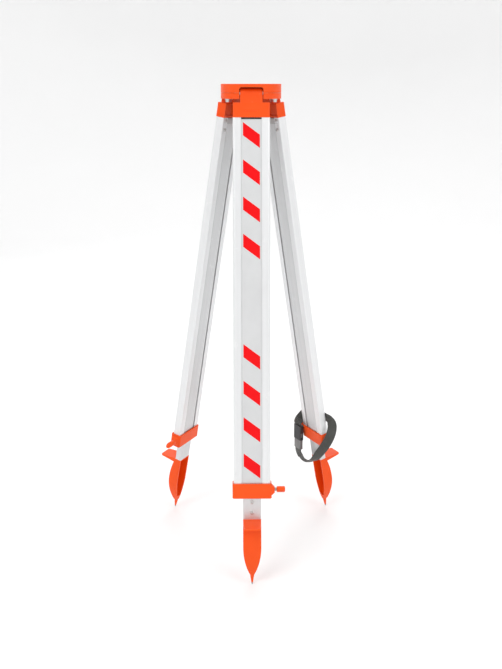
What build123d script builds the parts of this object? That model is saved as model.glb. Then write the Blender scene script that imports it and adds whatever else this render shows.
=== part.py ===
from build123d import *
import os
from math import cos, radians, sin

# A light surveying tripod: a round flat head, three hinged telescopic legs and a closing strap.
# Millimetres. The origin is the centre of the head's flat top face, +Z is up and the front leg
# stands towards -Y. Leg pieces are drawn in the leg's own frame (see leg_frame) and placed from it.

os.makedirs("parts", exist_ok=True)

# ---- head -------------------------------------------------------------------------------------
HEAD_RADIUS = 64.0
HEAD_TOP_WALL = 6.8
HEAD_EDGE_ROUND = 0.8
CENTRE_HOLE_RADIUS = 28.0
POCKET_RADIUS = 31.0
HINGE_DEPTH = 18.5
HINGE_RADIUS = 46.0
CAP_HEIGHT = 12.0
CAP_INNER_RADIUS = 44.0
CLAMP_GAP = 0.5
AXLE_RADIUS = 4.5
AXLE_BEARING = 9.5
RUNNING_GAP = 0.05
TONGUE_WIDTH = 45.8
TONGUE_SIDE_GAP = 1.9
NOTCH_CORNER = 2.2
BARREL_RADIUS = 9.5
BARREL_GAP = 2.0
HINGE_BOLT_CIRCLE = 54.0
HINGE_BOLT_RADIUS = 4.0
HINGE_BOLT_HEX = 13.0
HINGE_BOLT_HEAD = 5.4
HINGE_WASHER_RADIUS = 8.0
HINGE_WASHER = 1.4
HINGE_BOLT_BITE = 9.0

# ---- centre screw and its swing arm -------------------------------------------------------------
THREAD_RADIUS = 7.94
THREAD_SET_BACK = 1.5
THREAD_LENGTH = 15.4
THREAD_CHAMFER = 1.2
NECK_RADIUS = 6.0
SCREW_LIFT = 15.0
ARM_THICKNESS = 4.0
ARM_WIDTH = 30.0
ARM_SLOT_WIDTH = 18.0
ARM_GAP = 0.3
ARM_SHIFT = 11.0
ARM_END = 6.0
PIVOT_OFFSET = 33.0
PIVOT_RADIUS = 4.0
PIVOT_HEAD_RADIUS = 7.0
PIVOT_HEAD = 2.2
CARRIAGE_LENGTH = 20.0
CARRIAGE_GAP = 0.1
CARRIAGE_FLANGE_RADIUS = 12.5
CARRIAGE_FLANGE = 1.4
CARRIAGE_FOOT = 2.5
SPRING_RADIUS = 8.4
SPRING_WIRE = 0.6
SPRING_TURNS = 3.5
SPRING_POCKET = 7.0
SPRING_POCKET_RADIUS = 10.6
THRUST_WASHER = 1.0
THRUST_WASHER_RADIUS = 10.3
KNOB_RADIUS = 17.0
KNOB_HEIGHT = 26.0
KNOB_FLUTES = 8
KNOB_FLUTE_RADIUS = 5.0
KNOB_FLUTE_DEPTH = 3.4
HOOK_RING_RADIUS = 4.0
HOOK_WIRE = 1.1
HOOK_SOCKET = 6.0
HOOK_DROP = 1.5

# ---- legs ---------------------------------------------------------------------------------------
SPLAY = 9.7
CLOSED_LENGTH = 1050.0
LEG_LENGTH = CLOSED_LENGTH - HINGE_DEPTH
LEG_AZIMUTHS = {"front": -90.0, "right": 30.0, "left": 150.0}
WING_TURNS = {"front": 62.0, "right": 18.0, "left": -38.0}
BRACKET_SHOULDER = 20.8
BRACKET_HEIGHT = 30.3
BRACKET_WIDTH = 76.0
BRACKET_EDGE = 2.5
BRACKET_WALL = 4.0
BRACKET_POCKET = 3.0
BADGE_WIDTH = 24.0
BADGE_HEIGHT = 3.0
BADGE_DEPTH = 0.7
BADGE_RISE = 12.5
PROFILE_LENGTH = 771.0
PROFILE_WIDTH = 77.2
PROFILE_DEPTH = 20.0
PROFILE_OUTER = 9.5
PROFILE_WALL = 1.8
RAIL_WIDTH = 16.9
RAIL_ROUND = 4.5
RAIL_INNER_ROUND = 2.0
WEB_RECESS = 1.6
WEB_WALL = 2.0
GUIDE_SLOT = 4.0
LABEL_THICKNESS = 0.4
LABEL_SIDE_GAP = 0.2
LABEL_TOP_GAP = 4.0
LABEL_BOTTOM_GAP = 1.5
TANG_LENGTH = 40.0
TANG_SIDE_SPACE = 1.9
TANG_GAP = 0.2
SCREW_FROM_SIDE = 10.6
SCREW_DROPS = (7.0, 26.5)
SCREW_RADIUS = 2.0
SCREW_HEAD_RADIUS = 3.8
SCREW_HEAD = 2.0
SCREW_BITE = 9.0
TUBE_WIDTH = 38.0
TUBE_DEPTH = 15.0
TUBE_WALL = 1.6
TUBE_ROUND = 1.5
TUBE_WEB_GAP = 0.6
TUBE_TOP_SPACE = 2.0
TUBE_SHOWING = 46.0
GUIDE_HEIGHT = 12.0
GUIDE_PLUG = 20.0
GUIDE_GAP = 0.35
GUIDE_LUG = 1.4

# ---- collar and clamp ---------------------------------------------------------------------------
COLLAR_WIDTH = 82.0
COLLAR_DEPTH = 26.4
COLLAR_HEIGHT = 31.0
COLLAR_ROUND = 4.0
COLLAR_EDGE = 1.0
COLLAR_SOCKET = 9.3
SOCKET_GAP = 0.1
PASSAGE_GAP = 0.35
BOSS_LENGTH = 6.6
BOSS_ROOT = (24.0, 27.0)
BOSS_TIP = (12.0, 11.0)
PAD_HEIGHT = 11.8
PAD_WIDTH = 12.8
PAD_THICKNESS = 7.8
PAD_GAP = 0.1
PAD_TRAVEL = 2.6
CLAMP_ROD_RADIUS = 4.0
CLAMP_PIN_RADIUS = 3.0
CLAMP_PIN = 2.0
CLAMP_STEP_GAP = 0.1
WING_SPACE = 4.4
WING_LENGTH = 17.4
WING_HALF_HEIGHT = 11.5
WING_HALF_WIDTH = 6.0
WING_EDGE = 2.0

# ---- foot ---------------------------------------------------------------------------------------
FOOT_WALL = 2.6
FOOT_PLUG = 44.0
FOOT_PLUG_GAP = 0.1
FOOT_STRAIGHT = 58.0
FOOT_BODY = 119.2
FOOT_NECK = 4.6
FOOT_MID_WIDTH = 13.6
FOOT_MID_DROP = 95.0
FOOT_BULGE = 10.5
FOOT_BULGE_DROP = 66.0
FOOT_INNER_TAPER = 6.5
CONE_END_RADIUS = 1.9
TIP_LENGTH = 4.5
TIP_POINT = 0.4
TIP_SHANK_RADIUS = 1.2
TIP_SHANK = 18.0
FOOT_SCREW_DROPS = (9.4, 31.4)
FOOT_SCREW_RADIUS = 2.4
FOOT_SCREW_HEAD_RADIUS = 4.3
FOOT_SCREW_HEAD = 1.9
PEDAL_REACH = 43.0
PEDAL_ROOT_HEIGHT = 10.0
PEDAL_TIP_HEIGHT = 3.2
PEDAL_TIP_DROP = 5.0
PEDAL_TIP_WIDTH = 33.0
PEDAL_CORNER = 4.0

# ---- strap --------------------------------------------------------------------------------------
STRAP_WIDTH = 22.0
STRAP_THICKNESS = 1.6
STRAP_STEPS = 3
STRAP_RIVET_RADIUS = 2.5
STRAP_RIVET_HEAD = 5.0
BUCKLE_WIDTH = 29.0
BUCKLE_THICKNESS = 11.0
BUCKLE_HEIGHT = 60.0
BUCKLE_PARTING = 24.0
BUCKLE_WALL = 2.0
BUCKLE_GAP = 0.25
BUCKLE_SLOT_GAP = 1.0
BUCKLE_BRIDGE = 8.0
BUCKLE_WINDOW = 12.0
PRONG_WIDTH = 5.0
PRONG_LENGTH = 22.0
STRAP_RIVET_FROM_SIDE = 10.6
STRAP_RIVET_HEIGHT = -773.0
STRAP_RIVET_SEAT = 11.4
# The band's centre line in the right leg's frame, with the direction of the band's width at each
# point. It starts at the buckle's plug, hangs below the collar, climbs behind the leg, crosses the
# leg's outer face and comes round its other edge down to the buckle's socket.
STRAP_ROUTE = [
    ((43.5, 29.9, -868.5), (1.0, 0.0, 0.0)),
    ((43.5, 30.4, -871.5), (1.0, 0.0, 0.0)),
    ((43.5, 30.9, -874.5), (1.0, 0.0, 0.0)),
    ((42.8, 31.7, -881.5), (0.97, 0.0, -0.25)),
    ((37.5, 31.8, -889.5), (0.8, 0.0, -0.6)),
    ((26.5, 31.5, -894.0), (0.25, -0.1, -0.95)),
    ((12.0, 30.7, -893.5), (0.0, -0.6, -0.8)),
    ((-4.0, 29.5, -889.0), (0.0, -0.9, -0.43)),
    ((-18.0, 26.1, -880.2), (-0.1, -0.86, -0.5)),
    ((-32.5, 20.2, -861.2), (-0.4, -0.7, -0.6)),
    ((-46.0, 11.4, -840.5), (-0.6, -0.65, -0.45)),
    ((-53.8, -0.1, -820.5), (-0.6, -0.75, -0.15)),
    ((-56.0, -8.4, -803.5), (-0.5, -0.8, 0.2)),
    ((-53.8, -13.5, -788.0), (-0.35, -0.65, 0.65)),
    ((-47.0, -13.6, -778.0), (-0.1, -0.25, 0.95)),
    ((-37.0, -11.4, -774.0), (0.0, 0.0, 1.0)),
    ((-22.0, -11.4, -773.0), (0.0, 0.0, 1.0)),
    ((10.0, -11.4, -773.0), (0.0, 0.0, 1.0)),
    ((30.0, -11.4, -774.5), (0.0, 0.0, 1.0)),
    ((40.0, -11.2, -779.0), (0.1, 0.1, 0.97)),
    ((44.0, -4.0, -785.0), (0.1, 0.25, 0.95)),
    ((45.5, 5.0, -791.5), (0.15, 0.35, 0.92)),
    ((46.5, 14.0, -799.5), (0.4, 0.4, 0.82)),
    ((45.0, 19.4, -806.8), (0.85, 0.2, 0.4)),
    ((43.5, 20.4, -812.9), (1.0, 0.0, 0.0)),
    ((43.5, 20.9, -815.9), (1.0, 0.0, 0.0)),
]
BUCKLE_PLACE = (43.5, 30.5)
BUCKLE_BOTTOM = -872.0

# ---- places that follow from the sizes above ------------------------------------------------------
HEAD_BOTTOM = -(HINGE_DEPTH + CAP_HEIGHT)
BUCKLE_TOP = BUCKLE_BOTTOM + BUCKLE_HEIGHT
NOTCH_WIDTH = TONGUE_WIDTH + 2 * TONGUE_SIDE_GAP
NOTCH_INNER = HINGE_RADIUS - BARREL_RADIUS - BARREL_GAP
AXLE_LENGTH = NOTCH_WIDTH + 2 * AXLE_BEARING
BOLT_AZIMUTHS = [azimuth + 60.0 for azimuth in LEG_AZIMUTHS.values()]
PLATE_BOTTOM = -HINGE_DEPTH + CLAMP_GAP / 2
CAP_TOP = -HINGE_DEPTH - CLAMP_GAP / 2
ARM_TOP = PLATE_BOTTOM - ARM_GAP
ARM_BOTTOM = ARM_TOP - ARM_THICKNESS
ARM_SLOT_LENGTH = CARRIAGE_LENGTH + 2 * ARM_SHIFT + 1.0
FLANGE_BOTTOM = ARM_TOP + CARRIAGE_GAP
FLANGE_TOP = FLANGE_BOTTOM + CARRIAGE_FLANGE
CARRIAGE_BOTTOM = ARM_BOTTOM - CARRIAGE_GAP - CARRIAGE_FOOT
THREAD_BOTTOM = -THREAD_SET_BACK - THREAD_LENGTH
KNOB_TOP = CARRIAGE_BOTTOM - SCREW_LIFT - 0.4
KNOB_BOTTOM = KNOB_TOP - KNOB_HEIGHT
WASHER_BOTTOM = KNOB_TOP - SPRING_POCKET + RUNNING_GAP
WASHER_TOP = WASHER_BOTTOM + THRUST_WASHER

BRACKET_BOTTOM = -(BRACKET_SHOULDER + BRACKET_HEIGHT)
BRACKET_OUTER = PROFILE_OUTER + 1.2
BRACKET_INNER = PROFILE_DEPTH - PROFILE_OUTER + 0.6
PROFILE_TOP = BRACKET_BOTTOM
SCREW_OFFSET = PROFILE_WIDTH / 2 - SCREW_FROM_SIDE
STRAP_RIVET_PLACE = (STRAP_RIVET_FROM_SIDE - PROFILE_WIDTH / 2, STRAP_RIVET_HEIGHT)
PROFILE_BOTTOM = PROFILE_TOP - PROFILE_LENGTH
PROFILE_INNER = PROFILE_DEPTH - PROFILE_OUTER
CHANNEL_HALF = PROFILE_WIDTH / 2 - RAIL_WIDTH
WEB_OUTER = -PROFILE_OUTER + WEB_RECESS
WEB_INNER = WEB_OUTER + WEB_WALL
TUBE_OUTER = WEB_INNER + TUBE_WEB_GAP
TUBE_INNER = TUBE_OUTER + TUBE_DEPTH
TUBE_MIDDLE = (TUBE_OUTER + TUBE_INNER) / 2
GUIDE_TOP = BRACKET_BOTTOM - TUBE_TOP_SPACE
TUBE_TOP = GUIDE_TOP - GUIDE_HEIGHT
COLLAR_TOP = PROFILE_BOTTOM + COLLAR_SOCKET
COLLAR_BOTTOM = COLLAR_TOP - COLLAR_HEIGHT
COLLAR_MIDDLE = (COLLAR_TOP + COLLAR_BOTTOM) / 2
COLLAR_CENTRE = PROFILE_DEPTH / 2 - PROFILE_OUTER
SOCKET_FLOOR = PROFILE_BOTTOM - SOCKET_GAP
TUBE_BOTTOM = COLLAR_BOTTOM - TUBE_SHOWING
PAD_INNER = TUBE_WIDTH / 2 + PAD_GAP
PAD_OUTER = PAD_INNER + PAD_THICKNESS
BOSS_END = COLLAR_WIDTH / 2 + BOSS_LENGTH
WING_START = BOSS_END + WING_SPACE
FOOT_TOP = TUBE_BOTTOM
FOOT_NECK_Z = FOOT_TOP - FOOT_BODY
CONE_END = -LEG_LENGTH + TIP_LENGTH


def leg_frame(azimuth):
    """The frame of a leg: origin on the hinge axle, X along the axle, Y inwards, Z up the leg."""
    outward = Vector(cos(radians(azimuth)), sin(radians(azimuth)), 0)
    along_axle = Vector(-outward.Y, outward.X, 0)
    up_leg = Vector(0, 0, cos(radians(SPLAY))) - outward * sin(radians(SPLAY))
    hinge = outward * HINGE_RADIUS - Vector(0, 0, HINGE_DEPTH)
    return Plane(origin=hinge, x_dir=along_axle, z_dir=up_leg)


def radial_plane(azimuth, radius):
    """An upright plane that faces outwards at a radius: sketch X is along the tangent, Y is up."""
    outward = Vector(cos(radians(azimuth)), sin(radians(azimuth)), 0)
    return Plane(origin=outward * radius, x_dir=(-outward.Y, outward.X, 0), z_dir=outward)


def axle_plane(azimuth):
    """The plane across a hinge axle, at the middle of the leg."""
    outward = Vector(cos(radians(azimuth)), sin(radians(azimuth)), 0)
    middle = outward * HINGE_RADIUS - Vector(0, 0, HINGE_DEPTH)
    return Plane(origin=middle, x_dir=outward, z_dir=(-outward.Y, outward.X, 0))


def save(part, name):
    """Write one piece to its own file."""
    part.label = name
    export_step(part, f"parts/{name}.step")


def save_on_leg(part, leg, name):
    """Place a piece that was drawn in the leg frame, and write it."""
    placed = part.moved(leg_frame(LEG_AZIMUTHS[leg]).location)
    save(placed, f"{leg}_{name}")


# ================================ head =============================================================
def head_plate():
    """The flat round head: a top wall, a rim, three hinge blocks and a round pocket underneath."""
    with BuildPart() as plate:
        with BuildSketch(Plane.XY.offset(PLATE_BOTTOM)):
            Circle(HEAD_RADIUS)
        extrude(amount=-PLATE_BOTTOM)
        fillet(plate.edges().group_by(Axis.Z)[-1], HEAD_EDGE_ROUND)
        with BuildSketch(Plane.XY.offset(PLATE_BOTTOM)):
            Circle(POCKET_RADIUS)
            with Locations((0, PIVOT_OFFSET)):
                Circle(PIVOT_HEAD_RADIUS + 1.0, mode=Mode.SUBTRACT)
        extrude(amount=-PLATE_BOTTOM - HEAD_TOP_WALL, mode=Mode.SUBTRACT)
        with BuildSketch(Plane.XY):
            Circle(CENTRE_HOLE_RADIUS)
        extrude(amount=-HINGE_DEPTH, mode=Mode.SUBTRACT)
        with BuildSketch(Plane.XY.offset(PLATE_BOTTOM)):
            with Locations((0, PIVOT_OFFSET)):
                Circle(PIVOT_RADIUS)
            for azimuth in BOLT_AZIMUTHS:
                with PolarLocations(HINGE_BOLT_CIRCLE, 1, azimuth):
                    Circle(HINGE_BOLT_RADIUS)
        extrude(amount=HINGE_BOLT_BITE, mode=Mode.SUBTRACT)
        for azimuth in LEG_AZIMUTHS.values():
            with BuildSketch(radial_plane(azimuth, NOTCH_INNER)):
                with Locations((0, -HEAD_TOP_WALL)):
                    Rectangle(NOTCH_WIDTH, HINGE_DEPTH, align=(Align.CENTER, Align.MAX))
                corners = [(side * NOTCH_WIDTH / 2, -HEAD_TOP_WALL) for side in (-1, 1)]
                with Locations(*corners):
                    Rectangle(2 * NOTCH_CORNER, 2 * NOTCH_CORNER, rotation=45, mode=Mode.SUBTRACT)
            extrude(amount=HEAD_RADIUS, mode=Mode.SUBTRACT)
            with BuildSketch(axle_plane(azimuth)):
                Circle(AXLE_RADIUS + RUNNING_GAP)
            extrude(amount=AXLE_LENGTH / 2 + CLAMP_GAP, both=True, mode=Mode.SUBTRACT)
    return plate.part


def hinge_cap(azimuth):
    """The lower half of a hinge block, which clamps the ends of the two axles beside it."""
    with BuildPart() as cap:
        with BuildSketch(Plane.XY.offset(HEAD_BOTTOM)):
            Circle(HEAD_RADIUS)
            Circle(CAP_INNER_RADIUS, mode=Mode.SUBTRACT)
            with PolarLocations(HEAD_RADIUS, 1, azimuth):
                Rectangle(2 * HEAD_RADIUS, 2 * CAP_INNER_RADIUS, mode=Mode.INTERSECT)
            for leg in LEG_AZIMUTHS.values():
                with PolarLocations(HEAD_RADIUS, 1, leg):
                    Rectangle(2 * HEAD_RADIUS, NOTCH_WIDTH, mode=Mode.SUBTRACT)
            with PolarLocations(HINGE_BOLT_CIRCLE, 1, azimuth):
                Circle(HINGE_BOLT_RADIUS + CLAMP_GAP / 2, mode=Mode.SUBTRACT)
        extrude(amount=CAP_TOP - HEAD_BOTTOM)
        for leg in LEG_AZIMUTHS.values():
            with BuildSketch(axle_plane(leg)):
                Circle(AXLE_RADIUS + RUNNING_GAP)
            extrude(amount=AXLE_LENGTH / 2 + CLAMP_GAP, both=True, mode=Mode.SUBTRACT)
    return cap.part


def hinge_bolts():
    """Three bolts with flanged hexagon heads that pull the caps up against the hinge axles."""
    with BuildPart() as bolts:
        for azimuth in BOLT_AZIMUTHS:
            with BuildSketch(Plane.XY.offset(HEAD_BOTTOM - HINGE_WASHER)):
                with PolarLocations(HINGE_BOLT_CIRCLE, 1, azimuth):
                    Circle(HINGE_WASHER_RADIUS)
            extrude(amount=HINGE_WASHER)
            with BuildSketch(Plane.XY.offset(HEAD_BOTTOM - HINGE_WASHER)):
                with PolarLocations(HINGE_BOLT_CIRCLE, 1, azimuth):
                    RegularPolygon(HINGE_BOLT_HEX / 2, 6, major_radius=False)
            extrude(amount=-HINGE_BOLT_HEAD)
            with BuildSketch(Plane.XY.offset(HEAD_BOTTOM)):
                with PolarLocations(HINGE_BOLT_CIRCLE, 1, azimuth):
                    Circle(HINGE_BOLT_RADIUS)
            extrude(amount=PLATE_BOTTOM + HINGE_BOLT_BITE - HEAD_BOTTOM)
    return bolts.part


def hinge_axle():
    """The steel axle that a leg bracket carries, drawn in the leg frame."""
    with BuildPart() as axle:
        with BuildSketch(Plane.YZ):
            Circle(AXLE_RADIUS)
        extrude(amount=AXLE_LENGTH / 2, both=True)
        chamfer(axle.edges().filter_by(GeomType.CIRCLE), 0.6)
    return axle.part


# ================================ centre screw =====================================================
def swing_arm():
    """The flat slotted arm under the head, which swings about its pivot bolt."""
    slot_reach = ARM_SLOT_LENGTH / 2
    with BuildPart() as arm:
        with BuildSketch(Plane.XY.offset(ARM_BOTTOM)):
            RectangleRounded(ARM_WIDTH, ARM_SLOT_LENGTH + 2 * ARM_END, ARM_END)
            with Locations((0, PIVOT_OFFSET)):
                Circle(PIVOT_HEAD_RADIUS + 1.0)
                Rectangle(2 * PIVOT_HEAD_RADIUS, PIVOT_OFFSET - slot_reach, align=(Align.CENTER, Align.MAX))
            Rectangle(ARM_SLOT_WIDTH, ARM_SLOT_LENGTH, mode=Mode.SUBTRACT)
            with Locations((0, PIVOT_OFFSET)):
                Circle(PIVOT_RADIUS + RUNNING_GAP, mode=Mode.SUBTRACT)
        extrude(amount=ARM_THICKNESS)
    return arm.part


def arm_pivot():
    """The shoulder bolt that holds the swing arm under the head."""
    with BuildPart() as pivot:
        with BuildSketch(Plane.XY.offset(ARM_BOTTOM - ARM_GAP - PIVOT_HEAD)):
            with Locations((0, PIVOT_OFFSET)):
                Circle(PIVOT_HEAD_RADIUS)
        extrude(amount=PIVOT_HEAD)
        chamfer(pivot.edges().group_by(Axis.Z)[0], 0.6)
        with BuildSketch(Plane.XY.offset(ARM_BOTTOM - ARM_GAP)):
            with Locations((0, PIVOT_OFFSET)):
                Circle(PIVOT_RADIUS)
        extrude(amount=PLATE_BOTTOM + HINGE_BOLT_BITE - ARM_BOTTOM + ARM_GAP)
    return pivot.part


def screw_carriage():
    """The flanged block that slides in the arm's slot and holds the centre screw."""
    with BuildPart() as carriage:
        with BuildSketch(Plane.XY.offset(FLANGE_BOTTOM)):
            Circle(CARRIAGE_FLANGE_RADIUS)
        extrude(amount=CARRIAGE_FLANGE)
        with BuildSketch(Plane.XY.offset(CARRIAGE_BOTTOM)):
            Rectangle(ARM_SLOT_WIDTH - 2 * CARRIAGE_GAP, CARRIAGE_LENGTH)
        extrude(amount=FLANGE_BOTTOM - CARRIAGE_BOTTOM)
        with BuildSketch(Plane.XY.offset(CARRIAGE_BOTTOM)):
            Circle(CARRIAGE_FLANGE_RADIUS)
        extrude(amount=CARRIAGE_FOOT)
        with BuildSketch(Plane.XY.offset(FLANGE_TOP)):
            Circle(NECK_RADIUS + RUNNING_GAP)
        extrude(amount=CARRIAGE_BOTTOM - FLANGE_TOP, mode=Mode.SUBTRACT)
    return carriage.part


def centre_screw():
    """The instrument screw: its thread stands above a smooth neck that slides in the carriage."""
    with BuildPart() as screw:
        with BuildSketch(Plane.XY.offset(THREAD_BOTTOM)):
            Circle(THREAD_RADIUS)
        extrude(amount=THREAD_LENGTH)
        chamfer(screw.edges().group_by(Axis.Z)[-1], THREAD_CHAMFER)
        with BuildSketch(Plane.XY.offset(THREAD_BOTTOM)):
            Circle(NECK_RADIUS)
        extrude(amount=KNOB_BOTTOM + HOOK_SOCKET + 1.0 - THREAD_BOTTOM)
    return screw.part


def screw_knob():
    """The fluted hand knob on the screw's neck, with a pocket for the spring in its top."""
    with BuildPart() as knob:
        with BuildSketch(Plane.XY.offset(KNOB_BOTTOM)):
            Circle(KNOB_RADIUS)
            with PolarLocations(KNOB_RADIUS + KNOB_FLUTE_DEPTH, KNOB_FLUTES):
                Circle(KNOB_FLUTE_RADIUS, mode=Mode.SUBTRACT)
        extrude(amount=KNOB_HEIGHT)
        chamfer(knob.edges().group_by(Axis.Z)[0], 1.0)
        with BuildSketch(Plane.XY.offset(KNOB_TOP)):
            Circle(SPRING_POCKET_RADIUS)
        extrude(amount=-SPRING_POCKET, mode=Mode.SUBTRACT)
        with BuildSketch(Plane.XY.offset(KNOB_TOP)):
            Circle(NECK_RADIUS)
        extrude(amount=KNOB_BOTTOM + HOOK_SOCKET + 1.0 - KNOB_TOP, mode=Mode.SUBTRACT)
        with BuildSketch(Plane.XY.offset(KNOB_BOTTOM)):
            Circle(HOOK_WIRE)
        extrude(amount=HOOK_SOCKET, mode=Mode.SUBTRACT)
    return knob.part


def thrust_washer():
    """The loose washer that carries the spring, so that the knob can turn under it."""
    with BuildPart() as washer:
        with BuildSketch(Plane.XY.offset(WASHER_BOTTOM)):
            Circle(THRUST_WASHER_RADIUS)
            Circle(NECK_RADIUS + RUNNING_GAP, mode=Mode.SUBTRACT)
        extrude(amount=THRUST_WASHER)
    return washer.part


def screw_spring():
    """The coil spring that holds the screw down, clear of the head's top face."""
    first = WASHER_TOP + SPRING_WIRE + RUNNING_GAP
    last = CARRIAGE_BOTTOM - SPRING_WIRE - RUNNING_GAP
    with BuildPart() as spring:
        with BuildLine() as coil:
            Helix((last - first) / SPRING_TURNS, last - first, SPRING_RADIUS, center=(0, 0, first))
        with BuildSketch(Plane(origin=coil.line @ 0, z_dir=coil.line % 0)):
            Circle(SPRING_WIRE)
        sweep()
    return spring.part


def plumb_hook():
    """The wire ring under the knob that a plumb bob hangs from."""
    ring_middle = KNOB_BOTTOM - HOOK_RING_RADIUS - HOOK_DROP
    with BuildPart() as hook:
        with BuildSketch(Plane.XY.offset(KNOB_BOTTOM + HOOK_SOCKET)):
            Circle(HOOK_WIRE)
        extrude(amount=ring_middle + HOOK_RING_RADIUS - KNOB_BOTTOM - HOOK_SOCKET)
        with BuildSketch(Plane.XY.offset(ring_middle)):
            with Locations((HOOK_RING_RADIUS, 0)):
                Circle(HOOK_WIRE)
        revolve(axis=Axis((0, 0, ring_middle), (0, 1, 0)), revolution_arc=360)
    return hook.part


# ================================ legs =============================================================
def leg_bracket():
    """The cast bracket: a tongue and barrel on the axle, a body, and two tangs inside the rails."""
    cavity_depth = PROFILE_DEPTH - 2 * PROFILE_WALL
    tang_inner = CHANNEL_HALF + PROFILE_WALL + TANG_SIDE_SPACE
    tang_outer = PROFILE_WIDTH / 2 - PROFILE_WALL - TANG_GAP
    with BuildPart() as bracket:
        with BuildSketch(Plane.XY.offset(BRACKET_BOTTOM)):
            with Locations((0, -BRACKET_OUTER)):
                Rectangle(BRACKET_WIDTH, BRACKET_OUTER + BRACKET_INNER, align=(Align.CENTER, Align.MIN))
        extrude(amount=BRACKET_HEIGHT)
        outer_edges = bracket.edges().filter_by(Axis.Z).group_by(Axis.Y)[0]
        chamfer(outer_edges, BRACKET_EDGE)
        fillet(bracket.faces().sort_by(Axis.Z)[-1].edges().filter_by(Axis.X), 1.0)
        with BuildSketch(Plane.YZ):
            with BuildLine():
                Polyline(
                    (-BARREL_RADIUS, 0),
                    (-BRACKET_OUTER, -BRACKET_SHOULDER - 2.0),
                    (BARREL_RADIUS, -BRACKET_SHOULDER - 2.0),
                    (BARREL_RADIUS, 0),
                )
                ThreePointArc((BARREL_RADIUS, 0), (0, BARREL_RADIUS), (-BARREL_RADIUS, 0))
            make_face()
        extrude(amount=TONGUE_WIDTH / 2, both=True)
        with BuildSketch(Plane.YZ):
            Circle(AXLE_RADIUS)
        extrude(amount=TONGUE_WIDTH / 2, both=True, mode=Mode.SUBTRACT)
        # casting pockets in the inner side, either side of a middle rib
        pocket_middle = BRACKET_BOTTOM + BRACKET_HEIGHT / 2
        pocket_width = BRACKET_WIDTH / 2 - 1.5 * BRACKET_WALL
        pocket_offset = BRACKET_WALL / 2 + pocket_width / 2
        with BuildSketch(Plane.XZ.offset(-BRACKET_INNER)):
            with Locations((-pocket_offset, pocket_middle), (pocket_offset, pocket_middle)):
                RectangleRounded(pocket_width, BRACKET_HEIGHT - 2 * BRACKET_WALL, 2.0)
        extrude(amount=BRACKET_POCKET, mode=Mode.SUBTRACT)
        # the shallow panel cast into the outer face
        with BuildSketch(Plane.XZ.offset(BRACKET_OUTER)):
            with Locations((0, BRACKET_BOTTOM + BADGE_RISE)):
                Rectangle(BADGE_WIDTH, BADGE_HEIGHT)
        extrude(amount=-BADGE_DEPTH, mode=Mode.SUBTRACT)
        with BuildSketch(Plane.XY.offset(BRACKET_BOTTOM)):
            for side in (-1, 1):
                with Locations((side * (tang_inner + tang_outer) / 2, COLLAR_CENTRE)):
                    Rectangle(tang_outer - tang_inner, cavity_depth - 2 * TANG_GAP)
        extrude(amount=-TANG_LENGTH)
        for drop in SCREW_DROPS:
            with BuildSketch(Plane.XZ.offset(-PROFILE_INNER)):
                with Locations((-SCREW_OFFSET, BRACKET_BOTTOM - drop), (SCREW_OFFSET, BRACKET_BOTTOM - drop)):
                    Circle(SCREW_RADIUS)
            extrude(amount=SCREW_BITE, mode=Mode.SUBTRACT)
    return bracket.part


def upper_profile(strap_hole):
    """The upper leg: two hollow rails joined by a recessed web, open on the inner side."""
    rail_middle = PROFILE_WIDTH / 2 - RAIL_WIDTH / 2
    with BuildPart() as profile:
        with BuildSketch(Plane.XY.offset(PROFILE_BOTTOM)) as section:
            with Locations((-rail_middle, COLLAR_CENTRE), (rail_middle, COLLAR_CENTRE)):
                Rectangle(RAIL_WIDTH, PROFILE_DEPTH)
            sides = section.vertices().group_by(Axis.X)
            side_corners = sides[0] + sides[-1]
            fillet(side_corners.group_by(Axis.Y)[0], RAIL_ROUND)
            sides = section.vertices().group_by(Axis.Y)
            fillet(sides[-1].group_by(Axis.X)[0] + sides[-1].group_by(Axis.X)[-1], RAIL_INNER_ROUND)
        extrude(amount=PROFILE_LENGTH)
        with BuildSketch(Plane.XY.offset(PROFILE_BOTTOM)):
            with Locations((-rail_middle, COLLAR_CENTRE), (rail_middle, COLLAR_CENTRE)):
                Rectangle(RAIL_WIDTH - 2 * PROFILE_WALL, PROFILE_DEPTH - 2 * PROFILE_WALL)
            for side in (-1, 1):
                with Locations((side * (CHANNEL_HALF + PROFILE_WALL / 2), TUBE_MIDDLE)):
                    Rectangle(2 * PROFILE_WALL, GUIDE_SLOT)
        extrude(amount=PROFILE_LENGTH, mode=Mode.SUBTRACT)
        with BuildSketch(Plane.XY.offset(PROFILE_BOTTOM)):
            with Locations((0, WEB_OUTER)):
                Rectangle(2 * CHANNEL_HALF, WEB_WALL, align=(Align.CENTER, Align.MIN))
        extrude(amount=PROFILE_LENGTH)
        for drop in SCREW_DROPS:
            with BuildSketch(Plane.XZ.offset(-PROFILE_INNER)):
                with Locations((-SCREW_OFFSET, BRACKET_BOTTOM - drop), (SCREW_OFFSET, BRACKET_BOTTOM - drop)):
                    Circle(SCREW_RADIUS)
            extrude(amount=2 * PROFILE_WALL, mode=Mode.SUBTRACT)
        if strap_hole:
            with BuildSketch(Plane.XZ.offset(PROFILE_OUTER)):
                with Locations(STRAP_RIVET_PLACE):
                    Circle(STRAP_RIVET_RADIUS)
            extrude(amount=-2 * PROFILE_WALL, mode=Mode.SUBTRACT)
    return profile.part


def bracket_screws():
    """Four pan-head screws through the rails into the bracket's tangs."""
    with BuildPart() as screws:
        for side in (-1, 1):
            for drop in SCREW_DROPS:
                place = (side * SCREW_OFFSET, BRACKET_BOTTOM - drop)
                with BuildSketch(Plane.XZ.offset(-PROFILE_INNER)):
                    with Locations(place):
                        Circle(SCREW_HEAD_RADIUS)
                extrude(amount=-SCREW_HEAD, taper=25)
                with BuildSketch(Plane.XZ.offset(-PROFILE_INNER)):
                    with Locations(place):
                        Circle(SCREW_RADIUS)
                extrude(amount=SCREW_BITE)
    return screws.part


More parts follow.
